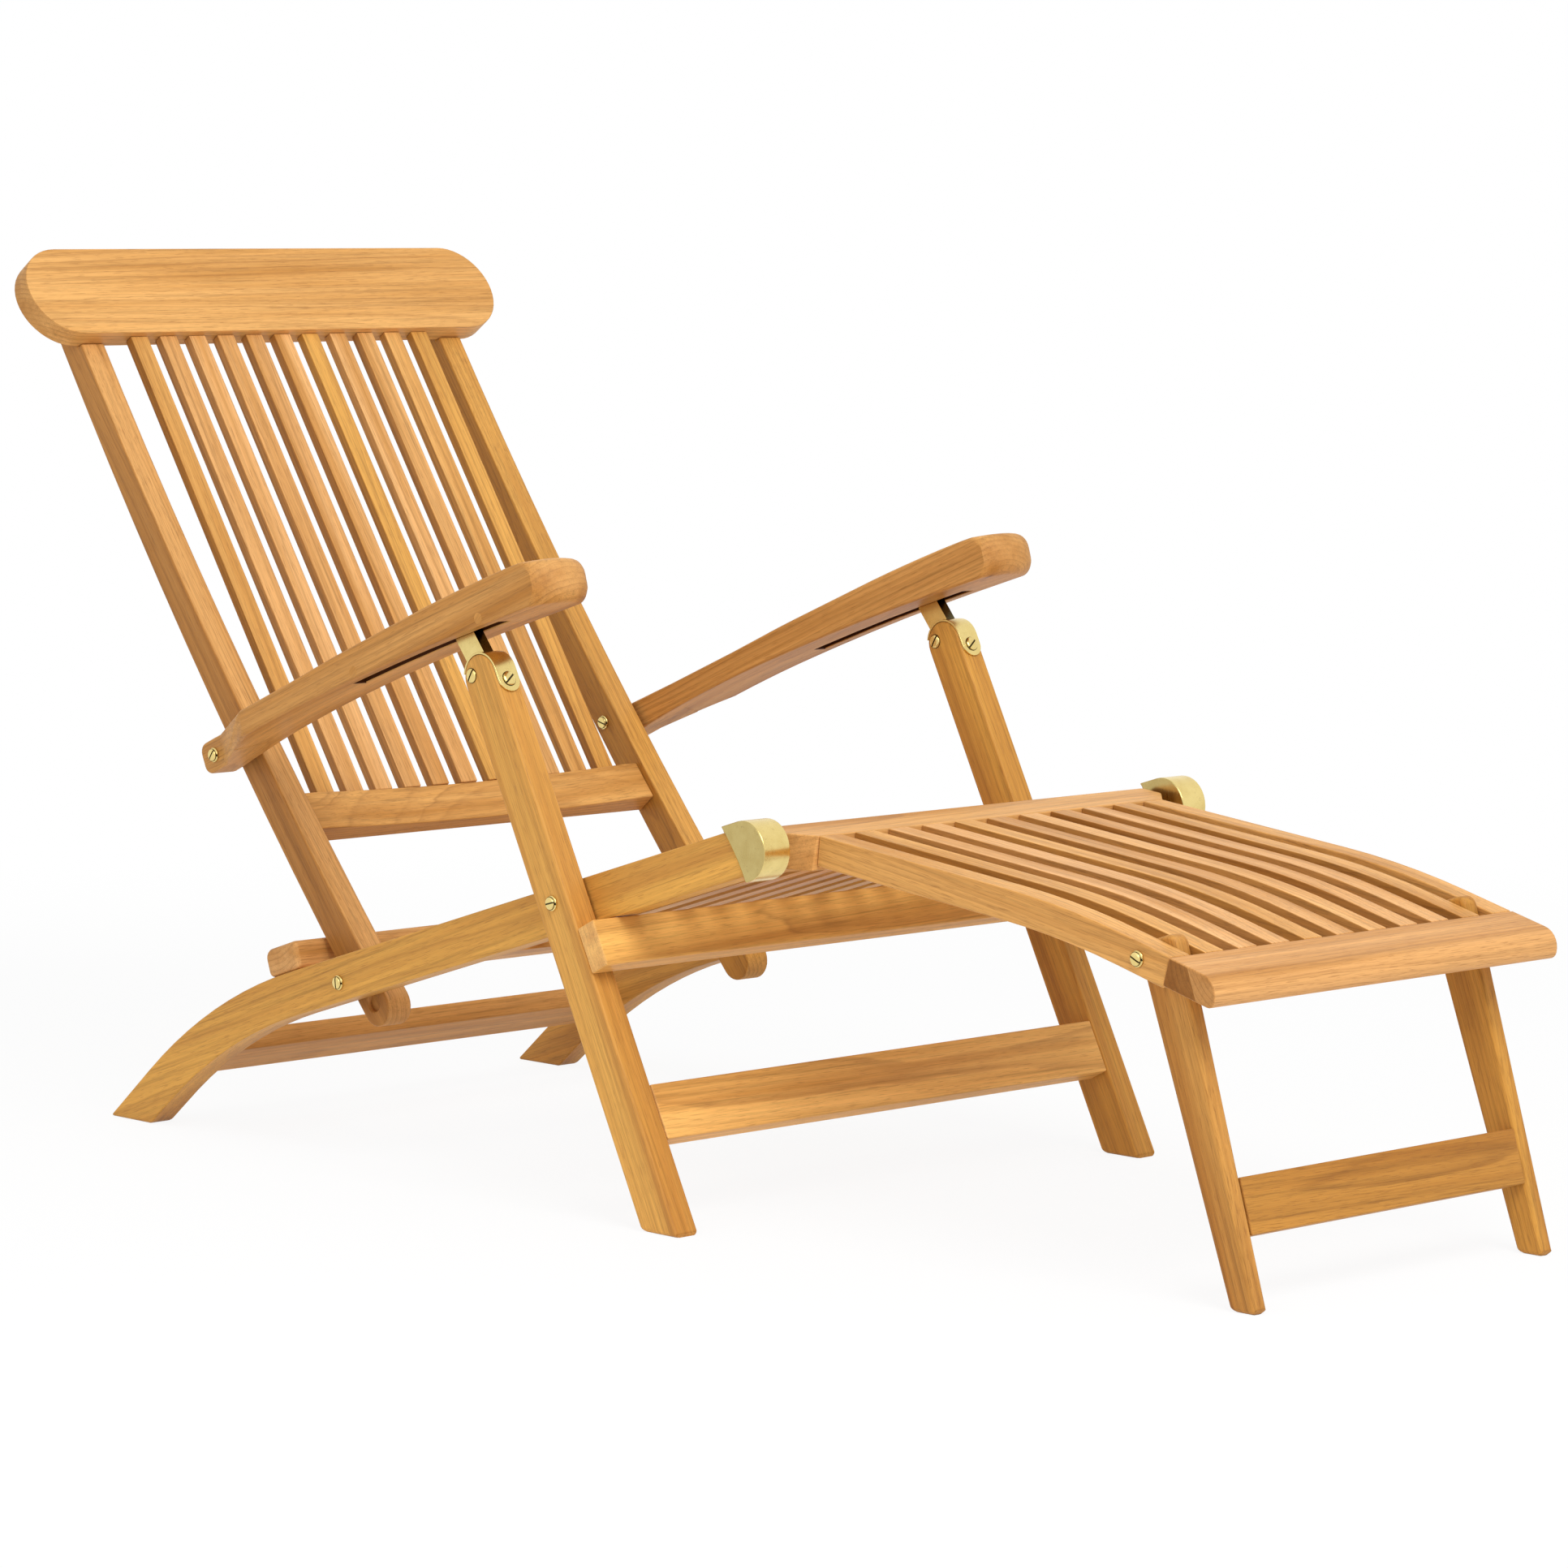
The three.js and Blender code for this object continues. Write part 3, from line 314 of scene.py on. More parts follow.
def teak_material():
    """Solid wood: growth rings about a pith, streaks and fibres along the grain, darker end grain."""
    gold = (0.800, 0.422, 0.088)
    peach = (0.800, 0.430, 0.165)
    brown = (0.300, 0.118, 0.028)
    honey = (0.530, 0.230, 0.046)
    end_brown = (0.56, 0.30, 0.125)
    rings_per_metre = 210
    marks_per_metre = 95
    ring_strength, mark_strength, pore_strength, end_strength = 0.60, 0.50, 0.38, 0.30
    shade_powers = (1.0, 1.35, 2.1)  # a darker value also turns the colour redder

    material, (make, link, calc, mix, noise, ramp) = new_material("teak_wood")
    grain = attribute(make, "grain", "Vector")
    tone = attribute(make, "tone")
    value = attribute(make, "value")
    end = attribute(make, "endgrain")

    # The distance from the pith, bent by slow noise, gives the rings and the bolder marks
    split = make("ShaderNodeSeparateXYZ")
    link(grain, split.inputs[0])
    across = make("ShaderNodeCombineXYZ")
    link(split.outputs[1], across.inputs[1])
    link(split.outputs[2], across.inputs[2])
    radius = make("ShaderNodeVectorMath", operation="LENGTH")
    link(across.outputs[0], radius.inputs[0])
    wobble = noise(grain, (2.2, 26, 26), 3, 0.55)
    slow = noise(grain, (0.9, 7, 7), 1)
    bent = calc("MULTIPLY_ADD", wobble, 0.0075, radius.outputs["Value"])
    bent = calc("MULTIPLY_ADD", slow, 0.05, bent)

    late = calc("FRACT", calc("MULTIPLY", bent, rings_per_metre))
    late = ramp(late, (0.0, 0.3), (0.07, 0.0), (0.5, 0.08), (0.82, 0.4), (0.94, 1.0), (1.0, 0.3))
    patches = noise(grain, (1.4, 40, 40), 2)
    late = calc("MULTIPLY", late, calc("MULTIPLY_ADD", patches, 1.8, -0.30, clamp=True))
    late = calc("MULTIPLY", late, calc("MULTIPLY_ADD", end, 0.5, 0.75))

    marks = calc("FRACT", calc("MULTIPLY", bent, marks_per_metre))
    marks = ramp(marks, (0.0, 0.0), (0.78, 0.0), (0.93, 0.45), (0.955, 1.0), (0.975, 0.0))
    patches = noise(grain, (2.0, 18, 18), 2)
    marks = calc("MULTIPLY", marks, calc("MULTIPLY_ADD", patches, 2.6, -0.75, clamp=True))

    # Noise stretched along the grain gives the streaks, the fibres and the pores
    broad = noise(grain, (1.1, 34, 34), 3, 0.6)
    streak = noise(grain, (3.0, 260, 260), 3, 0.6)
    fibre = noise(grain, (12.0, 900, 900), 3, 0.7)
    pores = noise(grain, (55.0, 1500, 1500), 1)
    pores = ramp(pores, (0.0, 1.0), (0.34, 1.0), (0.40, 0.0), (1.0, 0.0))
    fine = calc("MULTIPLY_ADD", streak, 0.5, calc("MULTIPLY", fibre, 0.5))

    base = mix(tone, peach, gold)
    base = mix(ramp(broad, (0.0, 0.0), (0.42, 0.0), (0.68, 0.9), (1.0, 1.0)), base, honey)
    base = mix(calc("MULTIPLY", late, ring_strength), base, brown)
    base = mix(calc("MULTIPLY", marks, mark_strength), base, brown)
    light = ramp(fine, (0.32, 0.66), (0.47, 0.96), (0.56, 1.02), (0.7, 1.16))
    base = mix(1.0, base, light, "MULTIPLY")
    base = mix(calc("MULTIPLY", pores, pore_strength), base, brown)
    base = mix(calc("MULTIPLY", end, end_strength), base, end_brown)
    # The value multiplies in each piece's own lightness, the heartwood's darker colour, and painted shade on
    # the sides and in the arms' slots. Where it darkens, the colour also turns redder, as painted bounced
    # light
    shade = make("ShaderNodeCombineXYZ")
    for socket, power in zip(shade.inputs, shade_powers):
        link(calc("POWER", value, power), socket)
    base = mix(1.0, base, shade.outputs[0], "MULTIPLY")

    rough = calc("MULTIPLY_ADD", fine, 0.22, 0.36)
    rough = calc("MULTIPLY_ADD", end, 0.15, rough)
    height = calc("MULTIPLY_ADD", fibre, 0.6, calc("MULTIPLY", streak, 0.6))
    height = calc("MULTIPLY_ADD", pores, -0.8, height)
    height = calc("MULTIPLY_ADD", late, 0.25, height)
    surface = surfaced(make, link, base, rough, height, strength=0.35, distance=0.00025)
    surface.inputs["IOR"].default_value = 1.48
    surface.inputs["Specular IOR Level"].default_value = 0.2
    return material


def brass_material():
    """Polished brass with faint brushing, small dents in the polish and a little darkening, and painted
    shade from the value attribute.
    """
    bright = (0.86, 0.68, 0.27)
    aged = (0.68, 0.49, 0.16)
    stained = (0.42, 0.29, 0.12)
    material, (make, link, calc, mix, noise, ramp) = new_material("polished_brass")
    grain = attribute(make, "grain", "Vector")
    cloud = noise(grain, (60, 60, 60), 3, 0.6)
    brush = noise(grain, (40, 1900, 1900), 2, 0.6)
    spots = noise(grain, (420, 420, 420), 2, 0.5)
    colour = mix(ramp(cloud, (0.35, 0.0), (0.75, 0.6)), bright, aged)
    dull = ramp(spots, (0.0, 1.0), (0.28, 0.8), (0.36, 0.0), (1.0, 0.0))
    colour = mix(calc("MULTIPLY", dull, 0.35), colour, stained)
    # The value attribute multiplies in painted shade: on the cheeks, the brackets' tongues and the screws'
    # feet
    value = attribute(make, "value")
    shade = make("ShaderNodeCombineXYZ")
    for socket in shade.inputs:
        link(value, socket)
    colour = mix(1.0, colour, shade.outputs[0], "MULTIPLY")
    rough = calc("MULTIPLY_ADD", brush, 0.10, 0.15)
    rough = calc("MULTIPLY_ADD", cloud, 0.10, rough)
    surface = surfaced(make, link, colour, rough, brush, strength=0.12, distance=0.0001)
    surface.inputs["Metallic"].default_value = 1.0
    return material


materials = {"teak": teak_material(), "brass": brass_material()}


# ---------------------------------------------------------------- wood grain

def principal(points, crosswise):
    """The middle of a piece, its grain's direction and the two directions across it."""
    cloud = np.array(points)
    middle = Vector((cloud.max(axis=0) + cloud.min(axis=0)) / 2)
    flat = cloud[:, [0, 2]] - cloud[:, [0, 2]].mean(axis=0)
    _, vectors = np.linalg.eigh(flat.T @ flat)
    wide = Vector((vectors[0, 1], 0, vectors[1, 1])).normalized()
    thin = Vector((vectors[0, 0], 0, vectors[1, 0])).normalized()
    sideways = Vector((0, 1, 0))
    return (middle, sideways, wide, thin) if crosswise else (middle, wide, thin, sideways)


def vertex_normals(mesh):
    """A normal for each vertex in which the large flat faces count most."""
    normals = [Vector() for _ in mesh.vertices]
    for polygon in mesh.polygons:
        for index in polygon.vertices:
            normals[index] += polygon.normal * polygon.area
    return [n.normalized() if n.length > 0 else Vector((0, 0, 1)) for n in normals]


def in_heart(mesh, polygon):
    """True on the dark rear part of the footrest's front rail, where its ends show heartwood."""
    if not mesh.name.startswith("footrest_front") or abs(polygon.normal.y) <= SQUARE:
        return False
    return polygon.center.x < max(v.co.x for v in mesh.vertices) - RAIL_NOSE * MM


def in_slot(mesh, spot):
    """True inside the slot under an arm, where little light comes."""
    if not mesh.name.endswith("arm_wood"):
        return False
    x, z = PIVOTS["arm"]
    reach = (spot - place(x, 0, z)).dot(heading(ARM_LEAN))
    beside = abs(abs(spot.y) - LEG_MIDDLE * MM)
    return beside < SLOT_HALF * MM + 1e-5 and SLOT_START * MM < reach < SLOT_REACH * MM


def write_grain(mesh, axes, seed, pith, tilt, tone, value, side=1.0):
    """Stores the wood's own coordinates at each vertex: along the grain, and across it from the pith.

    Each face also gets how much end grain it shows, its tone and its value. The faces to the left and
    right get a share of that value, called side."""
    middle, along, first, second = axes
    start = random.Random(seed).uniform(*START_DRAW)
    coordinates = []
    for vertex in mesh.vertices:
        offset = vertex.co - middle
        u = offset.dot(along)
        coordinates.append(u + start)
        coordinates.append(offset.dot(first) + pith[0] + tilt[0] * u)
        coordinates.append(offset.dot(second) + pith[1] + tilt[1] * u)
    ends = []
    values = []
    smooth = vertex_normals(mesh)
    for polygon in mesh.polygons:
        # The side share darkens the faces to the left and right: partly the wood's deeper side colour, partly
        # painted shade. Inside the arms' slots the value is painted shade; on the heartwood it is the wood's
        # own colour
        sideways = clipped((abs(polygon.normal.y) - SIDE_FROM) / SIDE_OVER)
        level = value * (1 + (side - 1) * sideways)
        level *= SLOT_SHADE if in_slot(mesh, polygon.center) else 1
        level *= HEART_SHADE if in_heart(mesh, polygon) else 1
        for index in polygon.vertices:
            normal = smooth[index] if smooth[index].dot(polygon.normal) > SMOOTH else polygon.normal
            ends.append(clipped((abs(normal.dot(along)) - END_FROM) / END_OVER))
            values.append(level)
    grain = mesh.attributes.new("grain", "FLOAT_VECTOR", "POINT")
    grain.data.foreach_set("vector", coordinates)
    for name, numbers in (("endgrain", ends), ("tone", [tone] * len(ends)), ("value", values)):
        layer = mesh.attributes.new(name, "FLOAT", "CORNER")
        layer.data.foreach_set("value", numbers)


# ---------------------------------------------------------------- shaping

def everything(work):
    return list(work.verts) + list(work.edges) + list(work.faces)


def outward(work):
    """Turns all faces outwards."""
    bmesh.ops.recalc_face_normals(work, faces=work.faces)


def merged(work):
    """Merges doubled points and the flat faces of a solid."""
    bmesh.ops.remove_doubles(work, verts=work.verts, dist=DOUBLED)
    limit = math.radians(FLAT_ANGLE)
    bmesh.ops.dissolve_limit(work, angle_limit=limit, verts=work.verts, edges=work.edges)


def shaded(work, crisp):
    """Shades all faces smooth, with crisp edges above an angle in degrees."""
    outward(work)
    for edge in work.edges:
        edge.smooth = len(edge.link_faces) == 2 and edge.calc_face_angle(0) < math.radians(crisp)
    for face in work.faces:
        face.smooth = True


def band(work, lower, upper, closed=True):
    """Joins two rows of points by a band of faces, all round where it is closed."""
    count = len(lower)
    for i in range(count if closed else count - 1):
        after = (i + 1) % count
        work.faces.new((lower[i], lower[after], upper[after], upper[i]))


def round_nose(work):
    """Replaces an arm's blunt end by a bowed nose that is also rounded over at the top and bottom."""
    merged(work)
    along, up = heading(NOSE_LEAN), heading(NOSE_LEAN + 90)
    tip = max(v.co.dot(along) for v in work.verts)
    half = (max(v.co.y for v in work.verts) - min(v.co.y for v in work.verts)) / 2
    middle = min(v.co.y for v in work.verts) + half
    bulge = NOSE_BULGE * MM
    fillet = NOSE_ROUND * MM
    radius = (half * half + bulge * bulge) / (2 * bulge)
    cut = along * (tip - bulge - (NOSE_ROUND + NOSE_RUN) * MM)
    bmesh.ops.bisect_plane(work, geom=everything(work), dist=1e-7, plane_co=cut, plane_no=along,
                           clear_outer=True)
    rim = {v for e in work.edges if e.is_boundary for v in e.verts}
    rim = sorted(rim, key=lambda v: (v.co.y, v.co.dot(up)))
    low = [v for v in rim if v.co.y < middle]
    high = [v for v in rim if v.co.y >= middle]
    bottom, top = low[0].co.dot(up), low[-1].co.dot(up)

    # Levels from the bottom to the top, each with its height and how far the round takes it back
    levels = []
    for step in range(NOSE_STEPS, -1, -1):
        angle = math.radians(90 * step / NOSE_STEPS)
        levels.append((bottom + fillet * (1 - math.sin(angle)), fillet * (1 - math.cos(angle))))
    levels += [(top + bottom - rise, back) for rise, back in reversed(levels)]
    sweep = math.asin(half / radius)
    rows = []
    for rise, back in levels:
        row = []
        for step in range(2 * NOSE_STEPS + 1):
            angle = sweep * (step / NOSE_STEPS - 1)
            reach = tip - radius + radius * math.cos(angle) - back
            aside = Vector((0, middle + radius * math.sin(angle), 0))
            row.append(work.verts.new(along * reach + up * rise + aside))
        rows.append(row)
    for lower, upper in zip(rows, rows[1:]):
        band(work, lower, upper, closed=False)
    work.faces.new([low[0], *rows[0], high[0]])
    work.faces.new([low[-1], *rows[-1], high[-1]][::-1])
    work.faces.new([*low, *[row[0] for row in reversed(rows)]])
    work.faces.new([*high, *[row[-1] for row in reversed(rows)]][::-1])
    outward(work)


def at_pivot(edge):
    """True for the rings of the bolt holes, which stay crisp under the heads."""
    for x, z in PIVOTS.values():
        reach = [math.hypot(v.co.x - (x + SHIFT) * MM, v.co.z - z * MM) for v in edge.verts]
        if max(reach) < PIVOT_CLEAR * MM:
            return True
    return False


def at_slot(edge):
    """True for the edges of the slot under an arm."""
    return all(abs(abs(v.co.y) - LEG_MIDDLE * MM) < (SLOT_HALF + 1) * MM for v in edge.verts)


def at_sole(edge):
    return max(v.co.z for v in edge.verts) < MM


def soften(work, width, inner=None, apart=None, segments=4, sharp=28, crisp=28):
    """Merges a solid's flat faces and rounds its outer edges of more than sharp degrees by a width in mm.

    The edges for which apart is true are rounded first, by the inner width."""
    merged(work)

    def wanted(edge):
        outer = len(edge.link_faces) == 2 and edge.is_convex
        return outer and edge.calc_face_angle(0) > math.radians(sharp) and not at_pivot(edge)

    groups = [(width, lambda edge: not (apart and apart(edge)))]
    if apart:
        groups.insert(0, (inner, apart))
    for size, chosen in groups:
        edges = [e for e in work.edges if wanted(e) and chosen(e)]
        if edges:
            bmesh.ops.bevel(work, geom=edges, offset=size * MM, offset_type="OFFSET", segments=segments,
                            profile=0.5, affect="EDGES", clamp_overlap=False)
    bmesh.ops.remove_doubles(work, verts=work.verts, dist=SLIVER)
    bmesh.ops.dissolve_degenerate(work, dist=SLIVER, edges=work.edges)
    shaded(work, crisp)


def placed(name, work, body, slot_name):
    """Turns a bmesh into an object that rides on a body and carries one material."""
    mesh = bpy.data.meshes.new(name)
    work.to_mesh(mesh)
    work.free()
    mesh.materials.append(materials[slot_name])
    piece = bpy.data.objects.new(name, mesh)
    bpy.context.scene.collection.objects.link(piece)
    weighted = piece.modifiers.new("weighted", "WEIGHTED_NORMAL")
    weighted.keep_sharp = True
    weighted.weight = 100
    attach(piece, body)
    return piece


def copy_of(node):
    work = bmesh.new()
    work.from_mesh(nodes[node].data)
    return work


# ---------------------------------------------------------------- wooden pieces

def wooden(node, seed):
    """A wooden node with rounded edges and its own cut of the wood."""
    round_mm, crosswise, pith, tilt, tone, value, side = WOOD[kind_of(node)]
    work = copy_of(node)
    if kind_of(node) == "arm":
        round_nose(work)
        soften(work, round_mm, SLOT_ROUND, at_slot, sharp=SLOT_SHARP)
    elif kind_of(node) in SOLED:
        soften(work, round_mm, SOLE_ROUND, at_sole)
        for vertex in work.verts:
            vertex.co.z = max(vertex.co.z, 0)
    else:
        soften(work, round_mm)
    if kind_of(node) == "footrest_front_rail":
        height = sum(v.co.z for v in work.verts) / len(work.verts)
        split = (max(v.co.x for v in work.verts) - RAIL_NOSE * MM, 0, height)
        bmesh.ops.bisect_plane(work, geom=everything(work), dist=1e-7, plane_co=split, plane_no=RAIL_SPLIT)
    piece = placed(f"{node}_wood", work, body_of[node], "teak")

    # The draws keep this order, since each piece's cut follows from it
    chance = random.Random(seed * 7 + 3)
    flip = [chance.choice((-1, 1)) for _ in pith]
    spread = [chance.uniform(*PITH_DRAW) for _ in pith]
    centre = [p * f * s * MM for p, f, s in zip(pith, flip, spread)]
    lean = [t * chance.uniform(*TILT_DRAW) for t in tilt]
    mood = clipped(tone + chance.uniform(*TONE_DRAW))
    level = value * chance.uniform(*VALUE_DRAW)
    axes = principal([v.co for v in nodes[node].data.vertices], crosswise)
    write_grain(piece.data, axes, seed, centre, lean, mood, level, side)
    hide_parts(node)


def board(name, body, corners, crosswise, seed, tone, value):
    """A straight board with rounded edges, from the four corners of each of its two sides."""
    work = bmesh.new()
    made = [work.verts.new(c) for c in corners]
    work.faces.new(made[:4])
    work.faces.new(made[:3:-1])
    for first, second in ((0, 1), (1, 2), (2, 3), (3, 0)):
        work.faces.new([made[i] for i in (first, first + 4, second + 4, second)])
    outward(work)
    soften(work, BOARD_ROUND)
    piece = placed(name, work, body, "teak")
    write_grain(piece.data, principal(corners, crosswise), seed, *BOARD_CUT, tone, value, BOARD_SIDE_TONE_AND_SHADE)
    return piece


def seat_corners(start, stop, bottom, low_y, high_y):
    """The corners of one of the seat's boards: from start to stop down its slope, and across Y."""
    along, down = heading(SEAT_SLOPE), heading(SEAT_SLOPE + 90)
    origin = place(SEAT_START[0], 0, SEAT_START[1])
    corners = []
    for y in (low_y, high_y):
        for distance, drop in ((start, SEAT_TOP), (stop, SEAT_TOP), (stop, bottom), (start, bottom)):
            corners.append(origin + along * distance * MM + down * drop * MM + Vector((0, y * MM, 0)))
    return corners


def build_seat():
    """The seat panel's two cross rails and its slats."""
    boards = []
    for number, (start, stop, tone, value) in enumerate(CROSS_RAILS):
        corners = seat_corners(start, stop, CROSS_BOTTOM, -SEAT_HALF, SEAT_HALF)
        boards.append((corners, True, RAIL_SEED + number, tone, value))
    for slat in range(SLAT_COUNT):
        middle = (slat - SLAT_COUNT // 2) * SLAT_PITCH
        corners = seat_corners(*SLAT_SPAN, SLAT_BOTTOM, middle - SLAT_HALF, middle + SLAT_HALF)
        chance = random.Random(SLAT_DRAW_SEED + slat)
        tone = chance.uniform(*SLAT_TONE_DRAW)
        value = chance.uniform(*SLAT_VALUE_DRAW)
        boards.append((corners, False, SLAT_SEED + slat, tone, value))
    pieces = [board(f"seat_panel_board_{number + 1}", "seat_frame", *settings)
              for number, settings in enumerate(boards)]
    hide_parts("seat_panel")


def circle(work, radius, sides, height):
    """A ring of points in metres about the Z axis."""
    ring = []
    for step in range(sides):
        angle = 2 * math.pi * step / sides
        ring.append(work.verts.new((radius * math.cos(angle), radius * math.sin(angle), height)))
    return ring


def turned_to(work, centre, facing, turn=0):
    """Moves a shape that faces up at the origin to a place and a direction, turned by some degrees."""
    upright = facing.to_track_quat("Z", "Y").to_matrix().to_4x4()
    work.transform(Matrix.Translation(centre) @ upright @ Matrix.Rotation(math.radians(turn), 4, "Z"))


def plug(name, body, centre, facing, seed):
    """A round wood plug, a hair proud of the face, with its own grain."""
    work = bmesh.new()
    low = circle(work, PLUG_RADIUS * MM, PLUG_SIDES, -PLUG_DEPTH * MM)
    high = [work.verts.new((v.co.x, v.co.y, PLUG_PROUD * MM)) for v in low]
    band(work, low, high)
    work.faces.new(high)
    work.faces.new(low[::-1])
    outward(work)
    soften(work, PLUG_ROUND, segments=2, sharp=60)
    turned_to(work, centre, facing)
    piece = placed(name, work, body, "teak")
    along = facing.orthogonal().normalized()
    axes = (Vector(centre), along, facing.cross(along), facing)
    write_grain(piece.data, axes, seed, *PLUG_CUT)


# ---------------------------------------------------------------- brass pieces

def write_brass(mesh, seed, values):
    """Stores the brushing's coordinates at each vertex and a value at each corner of a face."""
    start = random.Random(seed).uniform(0, 5)
    mesh.attributes.new("value", "FLOAT", "CORNER").data.foreach_set("value", values)
    layer = mesh.attributes.new("grain", "FLOAT_VECTOR", "POINT")
    layer.data.foreach_set("vector", [c for v in mesh.vertices for c in (v.co.z + start, v.co.x, v.co.y)])


def on_tongue(mesh, polygon):
    """True on the front of a bracket's tongue, which faces into the shade under the arm."""
    if not mesh.name.endswith("bracket_brass"):
        return False
    above = (polygon.center - leg_point(0, 0, 0)).dot(heading(LEG_LEAN)) > (LEG_HALF + 2) * MM
    return above and polygon.normal.dot(heading(LEG_LEAN - 90)) > FACING


def fitting(node, seed):
    """A brass node with slightly rounded edges."""
    kind = kind_of(node)
    work = copy_of(node)
    soften(work, BRASS_ROUND.get(kind, BRASS_ROUND_ELSE), segments=3, crisp=34)
    piece = placed(f"{node}_brass", work, body_of[node], "brass")
    values = []
    # Painted shade: the cheeks are darker, standing for darker reflections, and the front of a bracket's
    # tongue is dark, standing for the shade under the arm
    for polygon in piece.data.polygons:
        level = CHEEK_PAINTED_SHADE.get(kind, CHEEK_PAINTED_SHADE_ELSE) if abs(polygon.normal.y) > FACING else 1.0
        level = TONGUE_SHADE if on_tongue(piece.data, polygon) else level
        values += [level] * len(polygon.vertices)
    write_brass(piece.data, seed, values)
    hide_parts(node)


def slotted_screw(name, body, centre, facing, radius, height, turn):
    """A screw head of two domed halves beside its slot, on a thin base painted dark as the shadow round
    the head. Its turn is in degrees.
    """
    rings, steps, shadow_disc_sides = 5, 16, 32
    half_slot = 0.13 * radius
    rim_rise = 0.35 * height
    dome_rise = 0.65 * height
    dome_angle = math.radians(62)
    shadow_disc_radius = 1.07 * radius
    shadow_disc_height = 0.2 * height
    painted_shade_top = 0.3 * height
    work = bmesh.new()
    for side in (0, math.pi):
        loops = []
        for ring in range(rings + 1):
            share = ring / rings
            reach = radius * math.cos(share * dome_angle)
            rise = rim_rise + dome_rise * math.sin(share * math.pi / 2)
            start = math.asin(min(1, half_slot / reach))
            loop = []
            for step in range(steps + 1):
                angle = side + start + (math.pi - 2 * start) * step / steps
                loop.append(work.verts.new((reach * math.cos(angle), reach * math.sin(angle), rise)))
            loops.append(loop)
        foot = [work.verts.new((v.co.x, v.co.y, 0)) for v in loops[0]]
        layers = [foot] + loops
        for lower, upper in zip(layers, layers[1:]):
            band(work, lower, upper, closed=False)
        work.faces.new(loops[-1])
        work.faces.new([layer[0] for layer in layers] + [layer[-1] for layer in layers[::-1]])
        work.faces.new(foot[::-1])
    base = circle(work, shadow_disc_radius, shadow_disc_sides, 0)
    lid = [work.verts.new((v.co.x, v.co.y, shadow_disc_height)) for v in base]
    band(work, base, lid)
    work.faces.new(lid)
    work.faces.new(base[::-1])
    shaded(work, crisp=35)
    # Painted shade: the thin base and the halves' feet below this height are dark, standing for the shadow in
    # the slot and round the head
    values = [SCREW_PAINTED_SHADE if v.co.z < painted_shade_top else 1.0 for f in work.faces for v in f.verts]
    turned_to(work, centre, facing, turn)
    piece = placed(name, work, body, "brass")
    write_brass(piece.data, SCREW_SEED, values)


def leg_screw(name, screw, y, facing):
    out, along, radius, height, turn = screw
    slotted_screw(name, "front_legs", leg_point(out, along, y), facing, radius * MM, height * MM, turn)


def build_leg_screws():
    """A screw in each bracket's ear, and one on each face of each leg's top."""
    for side, sign in SIDES:
        leg_screw(f"{side}_ear_screw", EAR_SCREW, sign * LEG_MIDDLE, heading(LEG_LEAN - 90))
        for end, y, out in (("outer", LEG_OUTER, sign), ("inner", LEG_INNER, -sign)):
            leg_screw(f"{side}_leg_screw_{end}", LEG_SCREW, sign * y, Vector((0, out, 0)))


def build_bolt_heads():
    """A domed head with a slot on each end of each bolt."""
    for number, node in enumerate(n for n in body_of if n.endswith("_bolt")):
        points = [v.co for v in nodes[node].data.vertices]
        sign = 1 if node.startswith("left") else -1
        reaches = [p.y * sign for p in points]
        for end, reach, out in (("head", max(reaches), sign), ("nut", min(reaches), -sign)):
            rim = [p for p in points if abs(p.y * sign - reach) < BOLT_RIM * MM]
            lows, highs = np.min(rim, axis=0), np.max(rim, axis=0)
            facing = Vector((0, out, 0))
            centre = Vector(((lows[0] + highs[0]) / 2, sign * reach, (lows[2] + highs[2]) / 2))
            centre -= facing * BOLT_SINK * MM
            radius = min(BOLT_RADIUS * MM, (highs[0] - lows[0]) / 2)
            turn = BOLT_TURN + BOLT_TURN_STEP * number
            slotted_screw(f"{node}_{end}", body_of[node], centre, facing, radius, BOLT_HEIGHT * MM, turn)


# ---------------------------------------------------------------- floor, light and camera

def floor_material():
    """White floor that keeps soft shadows near the chair and fades to plain white away from it."""
    material, (make, link, calc, *_) = new_material("pale_floor")
    where = make("ShaderNodeNewGeometry")
    distance = make("ShaderNodeVectorMath", operation="LENGTH")
    link(where.outputs["Position"], distance.inputs[0])
    far = make("ShaderNodeMapRange", interpolation_type="SMOOTHSTEP")
    for name, value in (("From Min", 1.1), ("From Max", 2.6), ("To Min", 0.9), ("To Max", 1.0)):
        far.inputs[name].default_value = value
    link(distance.outputs["Value"], far.inputs["Value"])
    diffuse = make("ShaderNodeBsdfDiffuse")
    diffuse.inputs["Color"].default_value = (0.92, 0.92, 0.92, 1)
    white = make("ShaderNodeEmission")
    white.inputs["Color"].default_value = (1, 1, 1, 1)
    blend = make("ShaderNodeMixShader")
    link(calc("MULTIPLY", seen_directly(make, calc), far.outputs[0]), blend.inputs[0])
    link(diffuse.outputs[0], blend.inputs[1])
    link(white.outputs[0], blend.inputs[2])
    output = make("ShaderNodeOutputMaterial")
    link(blend.outputs[0], output.inputs["Surface"])
    return material


def build_floor(half=14):
    mesh = bpy.data.meshes.new("floor")
    corners = [(-half, -half, 0), (half, -half, 0), (half, half, 0), (-half, half, 0)]
    mesh.from_pydata(corners, [], [(0, 1, 2, 3)])
    mesh.materials.append(floor_material())
    floor = bpy.data.objects.new("floor", mesh)
    bpy.context.scene.collection.objects.link(floor)


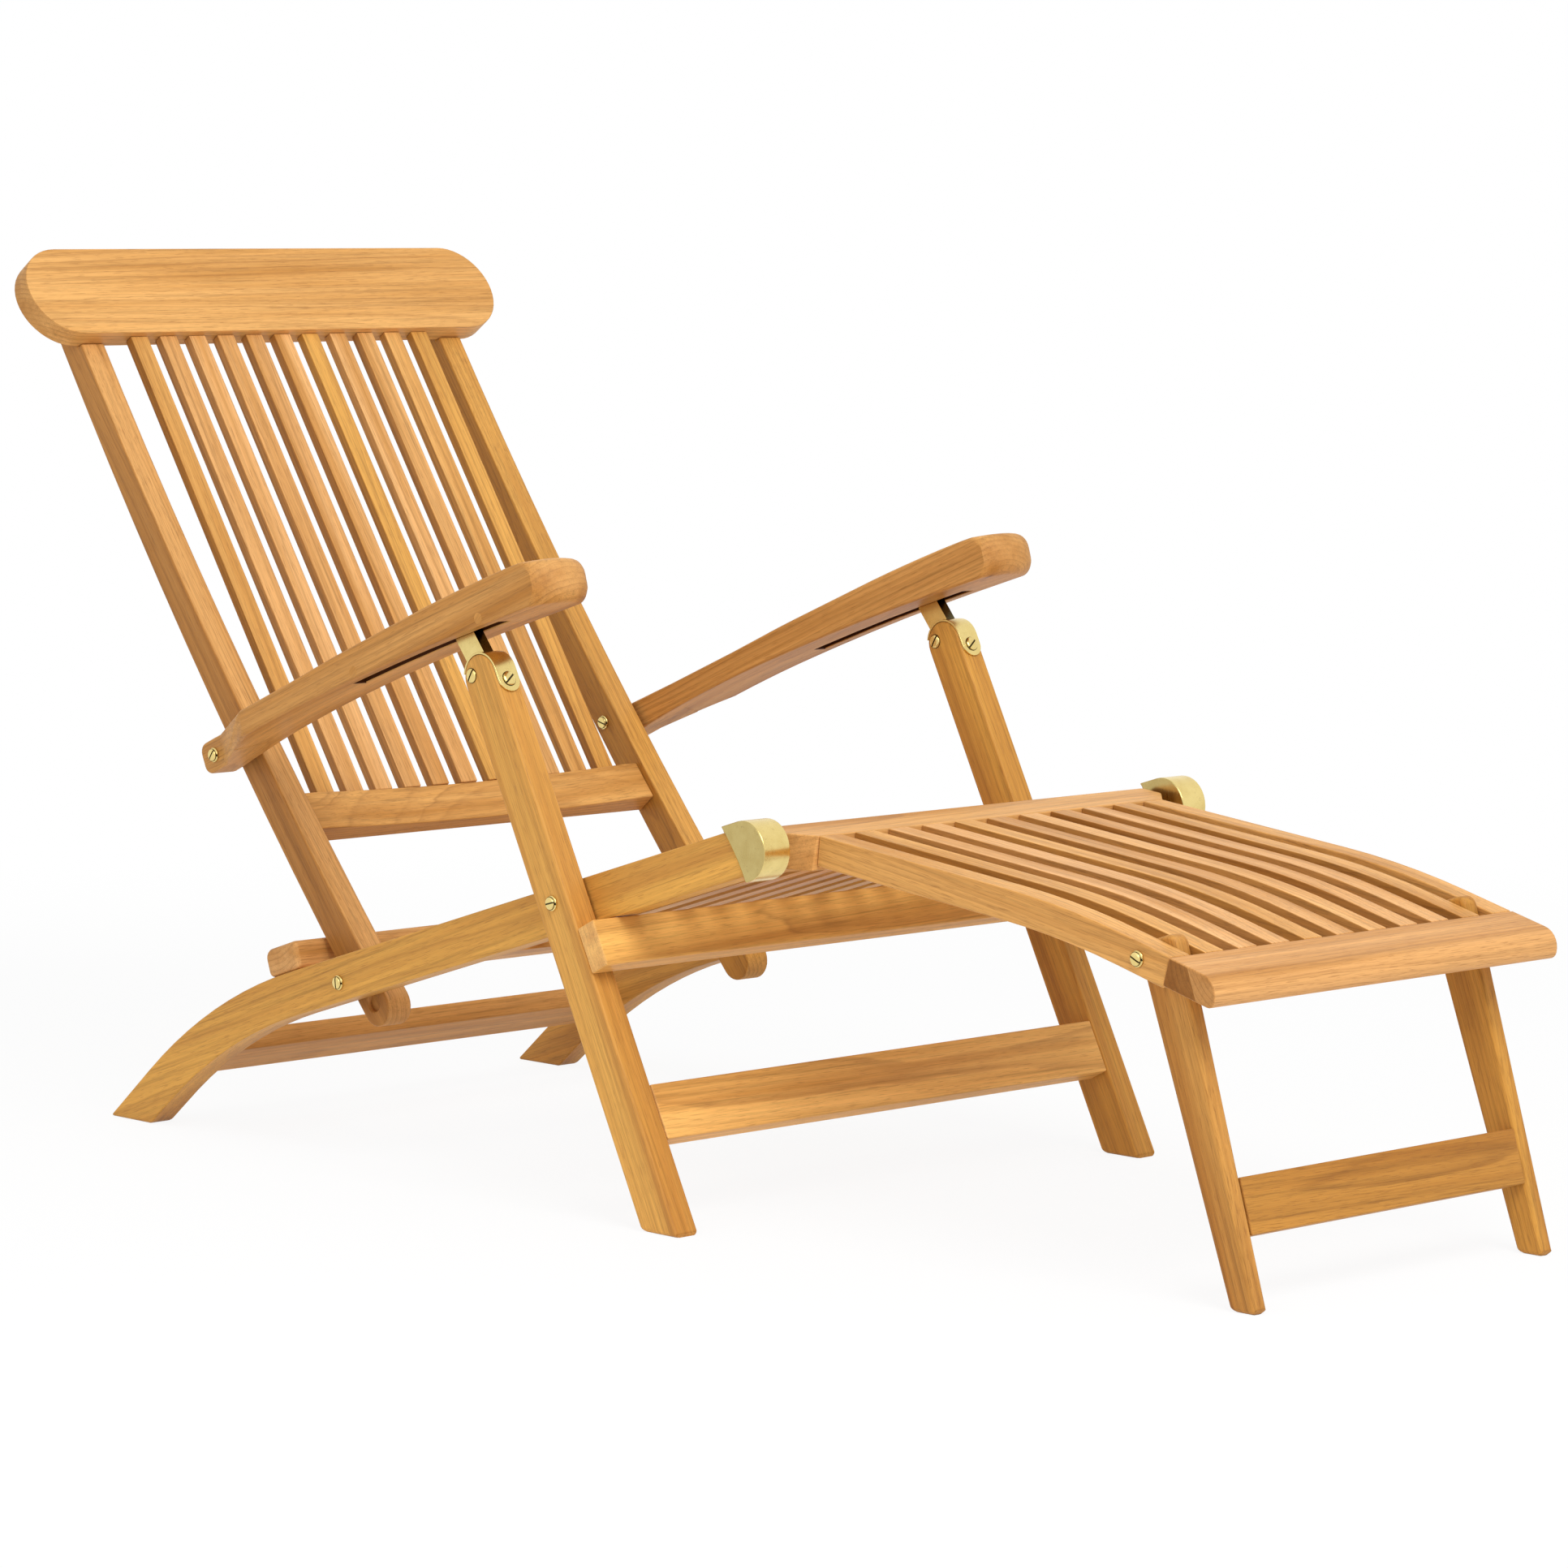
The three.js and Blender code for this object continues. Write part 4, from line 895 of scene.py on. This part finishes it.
def build_world(strength):
    """A world that the camera sees as plain white and that lights the chair with the given strength."""
    world = bpy.data.worlds.new("studio")
    world.use_nodes = True
    world.node_tree.nodes.clear()
    make, link, calc, *_ = wired(world.node_tree)
    background = make("ShaderNodeBackground")
    background.inputs["Color"].default_value = (1, 1, 1, 1)
    level = calc("MULTIPLY_ADD", seen_directly(make, calc), 1 - strength, strength)
    link(level, background.inputs["Strength"])
    output = make("ShaderNodeOutputWorld")
    link(background.outputs[0], output.inputs["Surface"])
    bpy.context.scene.world = world


def lamp(name, location, target, size, power):
    light = bpy.data.lights.new(name, "AREA")
    light.shape = "DISK"
    light.size = size
    light.energy = power
    item = bpy.data.objects.new(name, light)
    item.location = location
    item.rotation_euler = (Vector(target) - Vector(location)).to_track_quat("-Z", "Y").to_euler()
    bpy.context.scene.collection.objects.link(item)


def build_camera():
    """The camera that was fitted to the photograph."""
    camera = bpy.data.cameras.new("camera")
    camera.lens = 123.40
    camera.sensor_width = 36
    item = bpy.data.objects.new("camera", camera)
    item.location = (3.48516, -3.2501, 0.8378)
    item.rotation_euler = (math.radians(84.08), 0, math.radians(46.74))
    bpy.context.scene.collection.objects.link(item)
    bpy.context.scene.camera = item


# ---------------------------------------------------------------- the whole scene

for number, node in enumerate(n for n in body_of if kind_of(n) in WOOD):
    wooden(node, WOOD_SEED + number)
build_seat()
for number, node in enumerate(n for n in body_of if kind_of(n) not in WOOD and n != "seat_panel"):
    fitting(node, BRASS_SEED + number)
build_leg_screws()
build_bolt_heads()
for side, sign in SIDES:
    for number, (x, z) in enumerate(ARM_PLUGS):
        spot = place(x, sign * ARM_FACE, z)
        plug(f"{side}_arm_plug_{number + 1}", f"{side}_arm", spot, Vector((0, sign, 0)), PLUG_SEED + number)

build_floor()
build_world(0.68)
lamp("key", (2.6, -0.9, 3.0), (0, 0, 0.35), 2.2, 88)
lamp("fill", (0.2, -3.4, 1.7), (0, 0, 0.35), 2.4, 13)
build_camera()
bpy.context.scene.view_settings.view_transform = "Standard"
